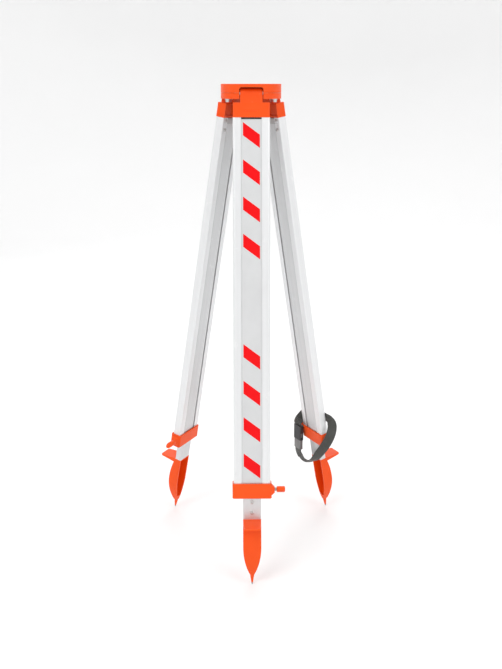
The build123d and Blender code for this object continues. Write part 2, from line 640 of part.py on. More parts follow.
def stripe_label():
    """The striped film on the web's outer face."""
    top = PROFILE_TOP - LABEL_TOP_GAP
    bottom = COLLAR_TOP + LABEL_BOTTOM_GAP
    with BuildPart() as label:
        with BuildSketch(Plane.XY.offset(bottom)):
            with Locations((0, WEB_OUTER)):
                Rectangle(2 * CHANNEL_HALF - 2 * LABEL_SIDE_GAP, LABEL_THICKNESS, align=(Align.CENTER, Align.MAX))
        extrude(amount=top - bottom)
    return label.part


def lower_tube():
    """The sliding lower leg, a thin flat tube."""
    with BuildPart() as tube:
        with BuildSketch(Plane.XY.offset(TUBE_BOTTOM)):
            with Locations((0, TUBE_MIDDLE)):
                RectangleRounded(TUBE_WIDTH, TUBE_DEPTH, TUBE_ROUND)
                Rectangle(TUBE_WIDTH - 2 * TUBE_WALL, TUBE_DEPTH - 2 * TUBE_WALL, mode=Mode.SUBTRACT)
        extrude(amount=TUBE_TOP - TUBE_BOTTOM)
        for drop in FOOT_SCREW_DROPS:
            with BuildSketch(Plane.XZ.offset(-TUBE_OUTER)):
                with Locations((0, COLLAR_BOTTOM - drop)):
                    Circle(FOOT_SCREW_RADIUS)
            extrude(amount=-2 * TUBE_WALL, mode=Mode.SUBTRACT)
    return tube.part


def guide_block():
    """The plastic block on top of the lower tube, whose lugs run in the rails' slots."""
    channel_depth = PROFILE_INNER - WEB_INNER
    half_width = CHANNEL_HALF - GUIDE_GAP
    lug_height = GUIDE_SLOT - 2 * GUIDE_GAP
    plug_gap = TUBE_WALL + FOOT_PLUG_GAP
    with BuildPart() as guide:
        with BuildSketch(Plane.XY.offset(TUBE_TOP)):
            with Locations((0, (PROFILE_INNER + WEB_INNER) / 2)):
                Rectangle(2 * half_width, channel_depth - 2 * GUIDE_GAP)
            with Locations((0, TUBE_MIDDLE)):
                Rectangle(2 * (CHANNEL_HALF + PROFILE_WALL + GUIDE_LUG), lug_height)
        extrude(amount=GUIDE_HEIGHT)
        with BuildSketch(Plane.XY.offset(TUBE_TOP)):
            with Locations((0, TUBE_MIDDLE)):
                Rectangle(TUBE_WIDTH - 2 * plug_gap, TUBE_DEPTH - 2 * plug_gap)
        extrude(amount=-GUIDE_PLUG)
    return guide.part


def collar():
    """The cast collar on the end of the upper leg, with the clamp's boss on one side."""
    with BuildPart() as ring:
        with BuildSketch(Plane.XY.offset(COLLAR_BOTTOM)):
            with Locations((0, COLLAR_CENTRE)):
                RectangleRounded(COLLAR_WIDTH, COLLAR_DEPTH, COLLAR_ROUND)
        extrude(amount=COLLAR_HEIGHT)
        chamfer(ring.faces().filter_by(Axis.Z).edges(), COLLAR_EDGE)
        with BuildSketch(Plane.YZ.offset(COLLAR_WIDTH / 2 - COLLAR_ROUND)):
            with Locations((COLLAR_CENTRE, COLLAR_MIDDLE)):
                RectangleRounded(BOSS_ROOT[0], BOSS_ROOT[1], 2.0)
        with BuildSketch(Plane.YZ.offset(BOSS_END)):
            with Locations((COLLAR_CENTRE, COLLAR_MIDDLE)):
                RectangleRounded(BOSS_TIP[0], BOSS_TIP[1], 2.0)
        loft()
        with BuildSketch(Plane.XY.offset(SOCKET_FLOOR)):
            with Locations((0, COLLAR_CENTRE)):
                RectangleRounded(PROFILE_WIDTH + 2 * SOCKET_GAP, PROFILE_DEPTH + 2 * SOCKET_GAP, RAIL_INNER_ROUND)
        extrude(amount=COLLAR_HEIGHT, mode=Mode.SUBTRACT)
        with BuildSketch(Plane.XY.offset(COLLAR_BOTTOM)):
            with Locations((0, TUBE_MIDDLE)):
                Rectangle(TUBE_WIDTH + 2 * PASSAGE_GAP, TUBE_DEPTH + 2 * PASSAGE_GAP)
        extrude(amount=COLLAR_HEIGHT, mode=Mode.SUBTRACT)
        with BuildSketch(Plane.XY.offset(COLLAR_MIDDLE - PAD_HEIGHT / 2 - PAD_GAP)):
            with Locations((0, TUBE_MIDDLE)):
                Rectangle(PAD_OUTER + PAD_TRAVEL, PAD_WIDTH + 2 * PAD_GAP, align=(Align.MIN, Align.CENTER))
        extrude(amount=SOCKET_FLOOR - COLLAR_MIDDLE + PAD_HEIGHT / 2 + PAD_GAP, mode=Mode.SUBTRACT)
        with BuildSketch(Plane.YZ):
            with Locations((TUBE_MIDDLE, COLLAR_MIDDLE)):
                Circle(CLAMP_ROD_RADIUS + RUNNING_GAP)
        extrude(amount=BOSS_END, mode=Mode.SUBTRACT)
    return ring.part


def clamp_pad():
    """The block that the clamp screw presses against the lower tube's side."""
    with BuildPart() as pad:
        with BuildSketch(Plane.YZ.offset(PAD_INNER)):
            with Locations((TUBE_MIDDLE, COLLAR_MIDDLE)):
                Rectangle(PAD_WIDTH, PAD_HEIGHT)
        extrude(amount=PAD_THICKNESS)
        with BuildSketch(Plane.YZ.offset(PAD_OUTER)):
            with Locations((TUBE_MIDDLE, COLLAR_MIDDLE)):
                Circle(CLAMP_PIN_RADIUS + RUNNING_GAP)
        extrude(amount=-CLAMP_PIN - CLAMP_STEP_GAP, mode=Mode.SUBTRACT)
    return pad.part


def clamp_screw():
    """The threaded rod of the clamp, with a turned-down end that sits in the pad."""
    with BuildPart() as rod:
        with BuildSketch(Plane.YZ.offset(PAD_OUTER + CLAMP_STEP_GAP)):
            with Locations((TUBE_MIDDLE, COLLAR_MIDDLE)):
                Circle(CLAMP_ROD_RADIUS)
        extrude(amount=WING_START + WING_LENGTH / 2 - PAD_OUTER - CLAMP_STEP_GAP)
        with BuildSketch(Plane.YZ.offset(PAD_OUTER + CLAMP_STEP_GAP)):
            with Locations((TUBE_MIDDLE, COLLAR_MIDDLE)):
                Circle(CLAMP_PIN_RADIUS)
        extrude(amount=-CLAMP_PIN)
    return rod.part


def clamp_wing(turn):
    """The oval grip of the clamp screw, standing at the angle that it was tightened to."""
    with BuildPart() as wing:
        with BuildSketch(Plane.YZ.offset(WING_START)):
            with Locations((TUBE_MIDDLE, COLLAR_MIDDLE)):
                Ellipse(WING_HALF_WIDTH, WING_HALF_HEIGHT, rotation=turn)
        extrude(amount=WING_LENGTH)
        fillet(wing.edges().group_by(Axis.X)[-1], WING_EDGE)
        chamfer(wing.edges().group_by(Axis.X)[0], WING_EDGE / 2)
        with BuildSketch(Plane.YZ.offset(WING_START)):
            with Locations((TUBE_MIDDLE, COLLAR_MIDDLE)):
                Circle(CLAMP_ROD_RADIUS)
        extrude(amount=WING_LENGTH / 2, mode=Mode.SUBTRACT)
    return wing.part


def foot_block(half_width, neck, depth):
    """The foot's shape seen from the front, as a block: straight sides, then convex tapers."""
    with BuildPart() as block:
        with BuildSketch(Plane.XZ):
            with BuildLine():
                shoulder = FOOT_TOP - FOOT_STRAIGHT
                middle = (half_width - TUBE_WIDTH / 2 + FOOT_MID_WIDTH, FOOT_TOP - FOOT_MID_DROP)
                Polyline(
                    (-half_width, shoulder),
                    (-half_width, FOOT_TOP + 1.0),
                    (half_width, FOOT_TOP + 1.0),
                    (half_width, shoulder),
                )
                ThreePointArc((half_width, shoulder), middle, (neck, FOOT_NECK_Z))
                Line((neck, FOOT_NECK_Z), (-neck, FOOT_NECK_Z))
                ThreePointArc((-neck, FOOT_NECK_Z), (-middle[0], middle[1]), (-half_width, shoulder))
            make_face()
        extrude(amount=depth, both=True)
    return block.part


def foot_hollow():
    """The space inside the foot's channel, open on the inner side."""
    floor = FOOT_NECK_Z + 2.5 * FOOT_NECK
    open_side = TUBE_INNER + 1.0
    with BuildPart() as hollow:
        with BuildSketch(Plane.YZ):
            with BuildLine():
                Polyline(
                    (TUBE_MIDDLE, floor),
                    (open_side, floor),
                    (open_side, FOOT_TOP - FOOT_WALL),
                    (TUBE_OUTER + FOOT_WALL, FOOT_TOP - FOOT_WALL),
                )
                ThreePointArc(
                    (TUBE_OUTER + FOOT_WALL, FOOT_TOP - FOOT_WALL),
                    (TUBE_OUTER - FOOT_BULGE + FOOT_WALL, FOOT_TOP - FOOT_BULGE_DROP),
                    (TUBE_MIDDLE, floor),
                )
            make_face()
        extrude(amount=TUBE_WIDTH, both=True)
        add(foot_block(TUBE_WIDTH / 2 - FOOT_WALL, FOOT_NECK / 2, PROFILE_WIDTH), mode=Mode.INTERSECT)
    return hollow.part


def pedal():
    """The wedge on the foot's outer side that is trodden on to drive the tip into the ground."""
    pedal_tip = TUBE_OUTER - PEDAL_REACH
    root = TUBE_OUTER + FOOT_WALL / 2
    with BuildPart() as wedge:
        with BuildSketch(Plane.YZ):
            Polygon(
                (root, FOOT_TOP),
                (TUBE_OUTER, FOOT_TOP),
                (pedal_tip, FOOT_TOP - PEDAL_TIP_DROP),
                (pedal_tip, FOOT_TOP - PEDAL_TIP_DROP - PEDAL_TIP_HEIGHT),
                (root, FOOT_TOP - PEDAL_ROOT_HEIGHT),
                align=None,
            )
        extrude(amount=TUBE_WIDTH / 2, both=True)
        with BuildSketch(Plane.XY.offset(FOOT_TOP)) as plan:
            Polygon(
                (-TUBE_WIDTH / 2, root),
                (-TUBE_WIDTH / 2, TUBE_OUTER),
                (-PEDAL_TIP_WIDTH / 2, pedal_tip),
                (PEDAL_TIP_WIDTH / 2, pedal_tip),
                (TUBE_WIDTH / 2, TUBE_OUTER),
                (TUBE_WIDTH / 2, root),
                align=None,
            )
            fillet(plan.vertices().group_by(Axis.Y)[0], PEDAL_CORNER)
        extrude(amount=-PEDAL_ROOT_HEIGHT, mode=Mode.INTERSECT)
    return wedge.part


def foot():
    """The cast foot: a channel open to the inner side, a pedal, a plug for the tube and a cone."""
    plug_gap = TUBE_WALL + FOOT_PLUG_GAP
    with BuildPart() as casting:
        with BuildSketch(Plane.YZ):
            with BuildLine():
                Polyline(
                    (TUBE_MIDDLE - FOOT_NECK, FOOT_NECK_Z),
                    (TUBE_MIDDLE + FOOT_NECK, FOOT_NECK_Z),
                    (TUBE_INNER - FOOT_INNER_TAPER + FOOT_NECK, FOOT_NECK_Z + 2.5 * FOOT_NECK),
                    (TUBE_INNER, FOOT_TOP),
                    (TUBE_OUTER, FOOT_TOP),
                )
                ThreePointArc(
                    (TUBE_OUTER, FOOT_TOP),
                    (TUBE_OUTER - FOOT_BULGE, FOOT_TOP - FOOT_BULGE_DROP),
                    (TUBE_MIDDLE - FOOT_NECK, FOOT_NECK_Z),
                )
            make_face()
        extrude(amount=TUBE_WIDTH, both=True)
        add(foot_block(TUBE_WIDTH / 2, FOOT_NECK, PROFILE_WIDTH), mode=Mode.INTERSECT)
        add(foot_hollow(), mode=Mode.SUBTRACT)
        add(pedal())
        with BuildSketch(Plane.XY.offset(FOOT_TOP - FOOT_WALL)):
            with Locations((0, TUBE_MIDDLE)):
                Rectangle(TUBE_WIDTH - 2 * plug_gap, TUBE_DEPTH - 2 * plug_gap)
        extrude(amount=FOOT_PLUG + FOOT_WALL)
        for drop in FOOT_SCREW_DROPS:
            with BuildSketch(Plane.XZ.offset(-TUBE_OUTER)):
                with Locations((0, COLLAR_BOTTOM - drop)):
                    Circle(FOOT_SCREW_RADIUS)
            extrude(amount=-SCREW_BITE, mode=Mode.SUBTRACT)
        with BuildSketch(Plane.XY.offset(FOOT_NECK_Z)):
            with Locations((0, TUBE_MIDDLE)):
                Circle(FOOT_NECK)
        with BuildSketch(Plane.XY.offset(CONE_END)):
            with Locations((0, TUBE_MIDDLE)):
                Circle(CONE_END_RADIUS)
        loft()
        with BuildSketch(Plane.XY.offset(CONE_END)):
            with Locations((0, TUBE_MIDDLE)):
                Circle(TIP_SHANK_RADIUS)
        extrude(amount=TIP_SHANK, mode=Mode.SUBTRACT)
    return casting.part


def foot_screws():
    """Two pan-head screws through the tube's outer wall into the foot's plug."""
    with BuildPart() as screws:
        for drop in FOOT_SCREW_DROPS:
            with BuildSketch(Plane.XZ.offset(-TUBE_OUTER)):
                with Locations((0, COLLAR_BOTTOM - drop)):
                    Circle(FOOT_SCREW_HEAD_RADIUS)
            extrude(amount=FOOT_SCREW_HEAD, taper=25)
            with BuildSketch(Plane.XZ.offset(-TUBE_OUTER)):
                with Locations((0, COLLAR_BOTTOM - drop)):
                    Circle(FOOT_SCREW_RADIUS)
            extrude(amount=-SCREW_BITE)
    return screws.part


def spike_tip():
    """The hardened point pressed into the foot's cone."""
    with BuildPart() as tip:
        with BuildSketch(Plane.XY.offset(CONE_END)):
            with Locations((0, TUBE_MIDDLE)):
                Circle(CONE_END_RADIUS)
        with BuildSketch(Plane.XY.offset(-LEG_LENGTH)):
            with Locations((0, TUBE_MIDDLE)):
                Circle(TIP_POINT)
        loft()
        with BuildSketch(Plane.XY.offset(CONE_END)):
            with Locations((0, TUBE_MIDDLE)):
                Circle(TIP_SHANK_RADIUS)
        extrude(amount=TIP_SHANK)
    return tip.part


# ================================ strap ============================================================
def between(before, start, end, after, share):
    """A smooth value between two values of a row, by the Catmull-Rom rule."""
    slope_start = (end - before) * 0.5
    slope_end = (after - start) * 0.5
    return (
        start * (2 * share**3 - 3 * share**2 + 1)
        + slope_start * (share**3 - 2 * share**2 + share)
        + end * (3 * share**2 - 2 * share**3)
        + slope_end * (share**3 - share**2)
    )


def smooth_row(values):
    """A row of vectors with STRAP_STEPS smooth steps in each interval."""
    row = []
    for index in range(len(values) - 1):
        before = values[max(index - 1, 0)]
        after = values[min(index + 2, len(values) - 1)]
        for step in range(STRAP_STEPS):
            row.append(between(before, values[index], values[index + 1], after, step / STRAP_STEPS))
    row.append(values[-1])
    return row


def strap_sections():
    """The planes across the band along its route: each sketch X is the band's width."""
    points = smooth_row([Vector(*place) for place, width in STRAP_ROUTE])
    widths = smooth_row([Vector(*width) for place, width in STRAP_ROUTE])
    sections = []
    for index in range(len(points)):
        along = (points[min(index + 1, len(points) - 1)] - points[max(index - 1, 0)]).normalized()
        across = (widths[index] - along * widths[index].dot(along)).normalized()
        sections.append(Plane(origin=points[index], x_dir=across, z_dir=along))
    return sections


def strap_band():
    """The webbing band, from the buckle's plug round the leg to the buckle's socket."""
    with BuildPart() as band:
        for section in strap_sections():
            with BuildSketch(section):
                Rectangle(STRAP_WIDTH, STRAP_THICKNESS)
        loft(ruled=True)
        with BuildSketch(Plane.XZ.offset(PROFILE_OUTER)):
            with Locations(STRAP_RIVET_PLACE):
                Circle(STRAP_RIVET_RADIUS)
        extrude(amount=PROFILE_DEPTH, mode=Mode.SUBTRACT)
    return band.part


def strap_rivet():
    """The rivet that holds the band to a rail of the right leg."""
    band_outside = STRAP_RIVET_SEAT + STRAP_THICKNESS / 2 + BUCKLE_GAP
    with BuildPart() as rivet:
        with BuildSketch(Plane.XZ.offset(band_outside)):
            with Locations(STRAP_RIVET_PLACE):
                Circle(STRAP_RIVET_HEAD)
        extrude(amount=STRAP_RIVET_RADIUS / 2, taper=30)
        with BuildSketch(Plane.XZ.offset(band_outside)):
            with Locations(STRAP_RIVET_PLACE):
                Circle(STRAP_RIVET_RADIUS)
        extrude(amount=PROFILE_OUTER - PROFILE_WALL - band_outside)
    return rivet.part


def hanging(part):
    """Tip a buckle half, drawn along the leg, about the buckle's lower end until it hangs plumb."""
    return part.rotate(Axis((*BUCKLE_PLACE, BUCKLE_BOTTOM), (1, 0, 0)), SPLAY)


def buckle_socket():
    """The hollow upper half of the buckle, with a window over each prong and a bar for the band."""
    socket_height = BUCKLE_HEIGHT - BUCKLE_PARTING
    with BuildPart() as socket:
        with BuildSketch(Plane.XY.offset(BUCKLE_TOP - socket_height)):
            with Locations(BUCKLE_PLACE):
                RectangleRounded(BUCKLE_WIDTH, BUCKLE_THICKNESS, 3.0)
        extrude(amount=socket_height)
        with BuildSketch(Plane.XY.offset(BUCKLE_TOP - socket_height)):
            with Locations(BUCKLE_PLACE):
                Rectangle(BUCKLE_WIDTH - 2 * BUCKLE_WALL, BUCKLE_THICKNESS - 2 * BUCKLE_WALL)
        extrude(amount=socket_height - BUCKLE_BRIDGE, mode=Mode.SUBTRACT)
        with BuildSketch(Plane.YZ.offset(BUCKLE_PLACE[0])):
            with Locations((BUCKLE_PLACE[1], BUCKLE_TOP - socket_height + BUCKLE_WINDOW)):
                RectangleRounded(BUCKLE_THICKNESS - 2 * BUCKLE_WALL, BUCKLE_WINDOW, 1.5)
        extrude(amount=BUCKLE_WIDTH, both=True, mode=Mode.SUBTRACT)
        with BuildSketch(Plane.XY.offset(BUCKLE_TOP)):
            with Locations(BUCKLE_PLACE):
                Rectangle(STRAP_WIDTH + 2 * BUCKLE_SLOT_GAP, STRAP_THICKNESS + 2 * BUCKLE_SLOT_GAP)
        extrude(amount=-BUCKLE_BRIDGE / 2, mode=Mode.SUBTRACT)
    return hanging(socket.part)


def buckle_plug():
    """The lower half of the buckle: a head for the band and two prongs that spring into the socket."""
    parting = BUCKLE_BOTTOM + BUCKLE_PARTING - BUCKLE_GAP
    prong_thickness = BUCKLE_THICKNESS - 2 * BUCKLE_WALL - 2 * BUCKLE_GAP
    prong_span = BUCKLE_WIDTH - 2 * BUCKLE_WALL - 2 * BUCKLE_GAP
    with BuildPart() as plug:
        with BuildSketch(Plane.XY.offset(BUCKLE_BOTTOM)):
            with Locations(BUCKLE_PLACE):
                RectangleRounded(BUCKLE_WIDTH - BUCKLE_WALL, BUCKLE_THICKNESS - BUCKLE_WALL, 3.0)
        extrude(amount=parting - BUCKLE_BOTTOM)
        with BuildSketch(Plane.XY.offset(parting)):
            for side in (-1, 1):
                with Locations((BUCKLE_PLACE[0] + side * (prong_span - PRONG_WIDTH) / 2, BUCKLE_PLACE[1])):
                    Rectangle(PRONG_WIDTH, prong_thickness)
            with Locations(BUCKLE_PLACE):
                Rectangle(PRONG_WIDTH / 2, prong_thickness)
        extrude(amount=PRONG_LENGTH)
        with BuildSketch(Plane.XY.offset(BUCKLE_BOTTOM)):
            with Locations(BUCKLE_PLACE):
                Rectangle(STRAP_WIDTH + 2 * BUCKLE_SLOT_GAP, STRAP_THICKNESS + 2 * BUCKLE_SLOT_GAP)
        extrude(amount=BUCKLE_BRIDGE / 2, mode=Mode.SUBTRACT)
    return hanging(plug.part)


# ================================ write the pieces =================================================
save(head_plate(), "head_plate")
save(hinge_bolts(), "hinge_bolts")
save(swing_arm(), "swing_arm")
save(arm_pivot(), "arm_pivot")
save(screw_carriage(), "screw_carriage")
save(centre_screw(), "centre_screw")
save(screw_knob(), "screw_knob")
save(thrust_washer(), "thrust_washer")
save(screw_spring(), "screw_spring")
save(plumb_hook(), "plumb_hook")
for leg, azimuth in LEG_AZIMUTHS.items():
    save(hinge_cap(azimuth + 60.0), f"{leg}_hinge_cap")
    save_on_leg(hinge_axle(), leg, "hinge_axle")
    save_on_leg(leg_bracket(), leg, "leg_bracket")
    save_on_leg(bracket_screws(), leg, "bracket_screws")
    save_on_leg(upper_profile(strap_hole=leg == "right"), leg, "upper_profile")
    save_on_leg(stripe_label(), leg, "stripe_label")
    save_on_leg(collar(), leg, "collar")
    save_on_leg(clamp_pad(), leg, "clamp_pad")
    save_on_leg(clamp_screw(), leg, "clamp_screw")
    save_on_leg(clamp_wing(WING_TURNS[leg]), leg, "clamp_wing")
    save_on_leg(guide_block(), leg, "guide_block")
    save_on_leg(lower_tube(), leg, "lower_tube")
    save_on_leg(foot(), leg, "foot")
    save_on_leg(foot_screws(), leg, "foot_screws")
    save_on_leg(spike_tip(), leg, "spike_tip")
save_on_leg(strap_band(), "right", "strap_band")
save_on_leg(strap_rivet(), "right", "strap_rivet")
save_on_leg(buckle_socket(), "right", "buckle_socket")
save_on_leg(buckle_plug(), "right", "buckle_plug")
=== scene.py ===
from math import cos, pi, radians, sin

import bmesh
import bpy
from mathutils import Matrix, Vector


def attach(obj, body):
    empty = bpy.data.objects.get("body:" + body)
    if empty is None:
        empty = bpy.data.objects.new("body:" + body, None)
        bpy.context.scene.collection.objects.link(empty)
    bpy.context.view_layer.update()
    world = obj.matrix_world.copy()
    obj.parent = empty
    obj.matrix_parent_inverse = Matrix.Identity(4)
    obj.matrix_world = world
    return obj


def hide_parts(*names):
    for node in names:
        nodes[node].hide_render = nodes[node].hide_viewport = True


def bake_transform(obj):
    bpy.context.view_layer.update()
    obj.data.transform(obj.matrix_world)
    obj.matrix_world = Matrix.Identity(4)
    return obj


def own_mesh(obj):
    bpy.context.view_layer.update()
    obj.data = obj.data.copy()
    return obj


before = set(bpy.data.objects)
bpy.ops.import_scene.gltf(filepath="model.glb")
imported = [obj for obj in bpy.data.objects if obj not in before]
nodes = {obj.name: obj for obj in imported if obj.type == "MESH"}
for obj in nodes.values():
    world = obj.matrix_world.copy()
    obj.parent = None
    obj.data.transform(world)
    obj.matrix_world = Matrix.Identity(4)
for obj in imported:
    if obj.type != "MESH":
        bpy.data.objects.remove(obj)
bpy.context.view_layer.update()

# ---- sizes shared with the CAD model, in metres -------------------------------------------------
HINGE_RADIUS = 0.046
HINGE_DEPTH = 0.0185
SPLAY = radians(9.7)
LEGS = {"front": radians(-90.0), "right": radians(30.0), "left": radians(150.0)}
PROFILE_INNER = 0.0105
TUBE_OUTER = -0.0053
BRACKET_BOTTOM = -0.0511
SCREW_OFFSET = 0.028
SCREW_DROPS = (0.007, 0.0265)
COLLAR_BOTTOM = -0.8438
COLLAR_MIDDLE = -0.8283
WING_START = 0.052
PAD_OUTER = 0.0269
FOOT_SCREW_DROPS = (0.0094, 0.0314)
TUBE_MIDDLE = 0.0022
WEB_OUTER = -0.0079
CHANNEL_HALF = 0.0217
CARRIAGE_BOTTOM = -0.02515
WASHER_TOP = -0.0465
THREAD_RADIUS = 0.00794
NECK_RADIUS = 0.006
THREAD_BOTTOM = -0.0169
THREAD_TOP = -0.0015
LEG_LENGTH = 1.0315
FLOOR_GAP = 0.0005
GROUND = -HINGE_DEPTH - LEG_LENGTH * cos(SPLAY) - FLOOR_GAP


# ---- camera -------------------------------------------------------------------------------------
def camera():
    """A long-lens view from in front, level with the head and tipped down along the legs."""
    turn, tip, distance = radians(-0.67), radians(12.04), 1.7567
    data = bpy.data.cameras.new("camera")
    data.sensor_width = 36.0
    data.lens = 43.76
    data.shift_y = -0.1155
    data.clip_end = 60.0
    body = bpy.data.objects.new("camera", data)
    bpy.context.scene.collection.objects.link(body)
    body.matrix_world = (
        Matrix.Rotation(turn, 4, "Z")
        @ Matrix.Translation((0.0, -distance, 0.0))
        @ Matrix.Rotation(pi / 2 - tip, 4, "X")
    )
    bpy.context.scene.camera = body


camera()


# ---- places -------------------------------------------------------------------------------------
def leg_axes(leg):
    """A leg's own frame: hinge point, along the axle, inwards, and up the leg."""
    turn = LEGS[leg]
    out = Vector((cos(turn), sin(turn), 0.0))
    axle = Vector((-out.y, out.x, 0.0))
    up = Vector((0, 0, cos(SPLAY))) - out * sin(SPLAY)
    return out * HINGE_RADIUS - Vector((0, 0, HINGE_DEPTH)), axle, up.cross(axle), up


def leg_matrix(leg):
    """The matrix that places things drawn in a leg's own frame."""
    hinge, axle, inward, up = leg_axes(leg)
    turned = Matrix((axle, inward, up)).transposed().to_4x4()
    return Matrix.Translation(hinge) @ turned


# ---- shader helpers -----------------------------------------------------------------------------
class Wire:
    """One output of a material's nodes, which takes part in plain arithmetic."""

    def __init__(self, finish, socket):
        self.finish = finish
        self.socket = socket

    def maths(self, operation, *values):
        """The result of one Math node."""
        settings = {"operation": operation}
        return self.finish.node("ShaderNodeMath", settings, dict(enumerate(values)))

    def __add__(self, other):
        return self.maths("ADD", self, other)

    __radd__ = __add__

    def __sub__(self, other):
        return self.maths("SUBTRACT", self, other)

    def __rsub__(self, other):
        return self.maths("SUBTRACT", other, self)

    def __mul__(self, other):
        return self.maths("MULTIPLY", self, other)

    __rmul__ = __mul__

    def __truediv__(self, other):
        return self.maths("DIVIDE", self, other)

    def __abs__(self):
        return self.maths("ABSOLUTE", self)

    def __lt__(self, other):
        return self.maths("LESS_THAN", self, other)

    def __gt__(self, other):
        return self.maths("GREATER_THAN", self, other)

    def __mod__(self, other):
        return self.maths("FLOORED_MODULO", self, other)

    def smooth(self, low, high):
        """0 below low, 1 above high, and smooth between."""
        return self.finish.node(
            "ShaderNodeMapRange",
            {"interpolation_type": "SMOOTHSTEP"},
            {"Value": self, "From Min": low, "From Max": high},
        )


class Finish:
    """A material of one principled surface, with a method that adds any other node."""

    def __init__(self, name, **surface):
        self.material = bpy.data.materials.new(name)
        self.material.use_nodes = True
        self.tree = self.material.node_tree
        self.surface = self.tree.nodes["Principled BSDF"]
        for socket, value in surface.items():
            self.surface.inputs[socket.replace("_", " ")].default_value = value

    def node(self, kind, settings, inputs, output=0):
        """Adds a node, sets it up, joins its inputs and gives one of its outputs."""
        made = self.tree.nodes.new(kind)
        for name, value in settings.items():
            setattr(made, name, value)
        for name, value in inputs.items():
            if isinstance(value, Wire):
                self.tree.links.new(value.socket, made.inputs[name])
            else:
                made.inputs[name].default_value = value
        return Wire(self, made.outputs[output])

    def place(self):
        """Where a point is on the object."""
        return self.node("ShaderNodeTexCoord", {}, {}, "Object")

    def band_place(self):
        """Where a point is along and across a band, from the band's own map."""
        return self.node("ShaderNodeTexCoord", {}, {}, "UV")

    def along(self, place, origin, axis):
        """The distance of a place from an origin along an axis."""
        offset = self.node("ShaderNodeVectorMath", {"operation": "SUBTRACT"}, {0: place, 1: origin})
        return self.dot(offset, axis)

    def dot(self, first, second):
        """The share of one vector that lies along another."""
        inputs = {0: first, 1: second}
        return self.node("ShaderNodeVectorMath", {"operation": "DOT_PRODUCT"}, inputs, "Value")

    def vector(self, x, y, z):
        """A vector of three numbers, each a value or a link."""
        return self.node("ShaderNodeCombineXYZ", {}, {0: x, 1: y, 2: z})

    def parts(self, place):
        """The three numbers of a vector."""
        return [self.node("ShaderNodeSeparateXYZ", {}, {0: place}, part) for part in range(3)]

    def noise(self, place, scale, detail=4.0, roughness=0.55):
        """A cloudy value from 0 to 1, with scale clouds to the metre."""
        return self.node(
            "ShaderNodeTexNoise",
            {},
            {"Vector": place, "Scale": scale, "Detail": detail, "Roughness": roughness},
        )

    def mix(self, share, first, second):
        """A colour between two colours."""
        return self.node("ShaderNodeMix", {"data_type": "RGBA"}, {0: share, 6: first, 7: second}, 2)

    def edges(self, width):
        """1 on edges and corners within a width of them, and 0 on the faces between."""
        rounded = self.node("ShaderNodeBevel", {"samples": 6}, {"Radius": width})
        straight = self.node("ShaderNodeNewGeometry", {}, {}, "Normal")
        return (1.0 - self.dot(rounded, straight)).smooth(0.02, 0.25)

    def set(self, **varying):
        """Feeds values that change over the surface to its sockets."""
        for socket, value in varying.items():
            self.tree.links.new(value.socket, self.surface.inputs[socket.replace("_", " ")])

    def bump(self, height, depth, strength=1.0):
        """Raises the surface by up to depth metres where height is 1."""
        inputs = {"Height": height, "Distance": depth, "Strength": strength}
        self.set(Normal=self.node("ShaderNodeBump", {}, inputs))


def grey(value, warmth=0.0):
    """A grey, with a share more red and less blue."""
    return (value * (1 + warmth), value, value * (1 - warmth), 1.0)


# ---- finishes -----------------------------------------------------------------------------------
def orange_powder_coat(name, roughness=0.34):
    """Bright orange powder coat: fine orange peel, scuffed in places, lighter on edges for thin
    paint there and a painted highlight.
    """
    coat = Finish(name, Specular_IOR_Level=0.22, Coat_Weight=0.06, Coat_Roughness=0.2)
    place = coat.place()
    cloud = coat.noise(place, 18.0)
    speck = coat.noise(place, 900.0, 2.0)
    scuff = (coat.noise(place, 60.0, 8.0, 0.7) - 0.62).smooth(0.0, 0.08)
    edge = coat.edges(0.0009)
    fresh = coat.mix(cloud, (0.83, 0.066, 0.002, 1.0), (0.88, 0.092, 0.005, 1.0))
    worn = coat.mix(scuff * 0.35, fresh, (0.9, 0.16, 0.05, 1.0))
    coat.set(
        # lighter orange along edges: partly thin paint there, partly a painted highlight on the
        # rounded edges
        Base_Color=coat.mix(edge * 0.45, worn, (0.92, 0.17, 0.05, 1.0)),
        Roughness=roughness + 0.16 * cloud + 0.12 * scuff - 0.06 * edge,
    )
    coat.bump(speck * 0.7 + cloud * 0.3, 0.00008, 0.5)
    return coat.material


DIE_LINE_STRETCH = 0.01


def drawn_aluminium(leg, name, dull, bright):
    """Anodised extrusion: pale silver with die lines that run along the leg."""
    metal = Finish(f"{leg}_{name}", Metallic=0.82, Anisotropic=0.35)
    hinge, axle, inward, up = leg_axes(leg)
    place = metal.place()
    across = metal.along(place, hinge, axle)
    depth = metal.along(place, hinge, inward)
    length = metal.along(place, hinge, up)
    drawn = metal.vector(across, depth, length * DIE_LINE_STRETCH)
    lines = metal.noise(drawn, 900.0, 5.0, 0.65)
    wide = metal.noise(drawn, 90.0, 3.0)
    cloud = metal.noise(place, 9.0)
    rub = (metal.noise(place, 40.0, 8.0, 0.72) - 0.6).smooth(0.0, 0.1)
    tint = metal.mix(wide, grey(dull, -0.01), grey(bright, -0.006))
    metal.set(
        Base_Color=metal.mix(rub * 0.25, tint, grey(0.94)),
        Roughness=0.36 + 0.14 * lines + 0.08 * cloud - 0.06 * rub,
    )
    metal.bump(lines, 0.00003, 0.6)
    return metal.material


# stripes down the film, in metres: the first one's place up the leg, and the numbers of the stripes
# between which the film is plain
STRIPE_FIRST = -0.0871
STRIPE_STEP = 0.0765
STRIPE_HALF_WIDTH = 0.0175
STRIPE_HALF_HEIGHT = 0.0137
STRIPE_SLOPE = 0.026 / 0.035
STRIPE_GAP = (3.5, 5.5)
STRIPE_LAST = 9.5


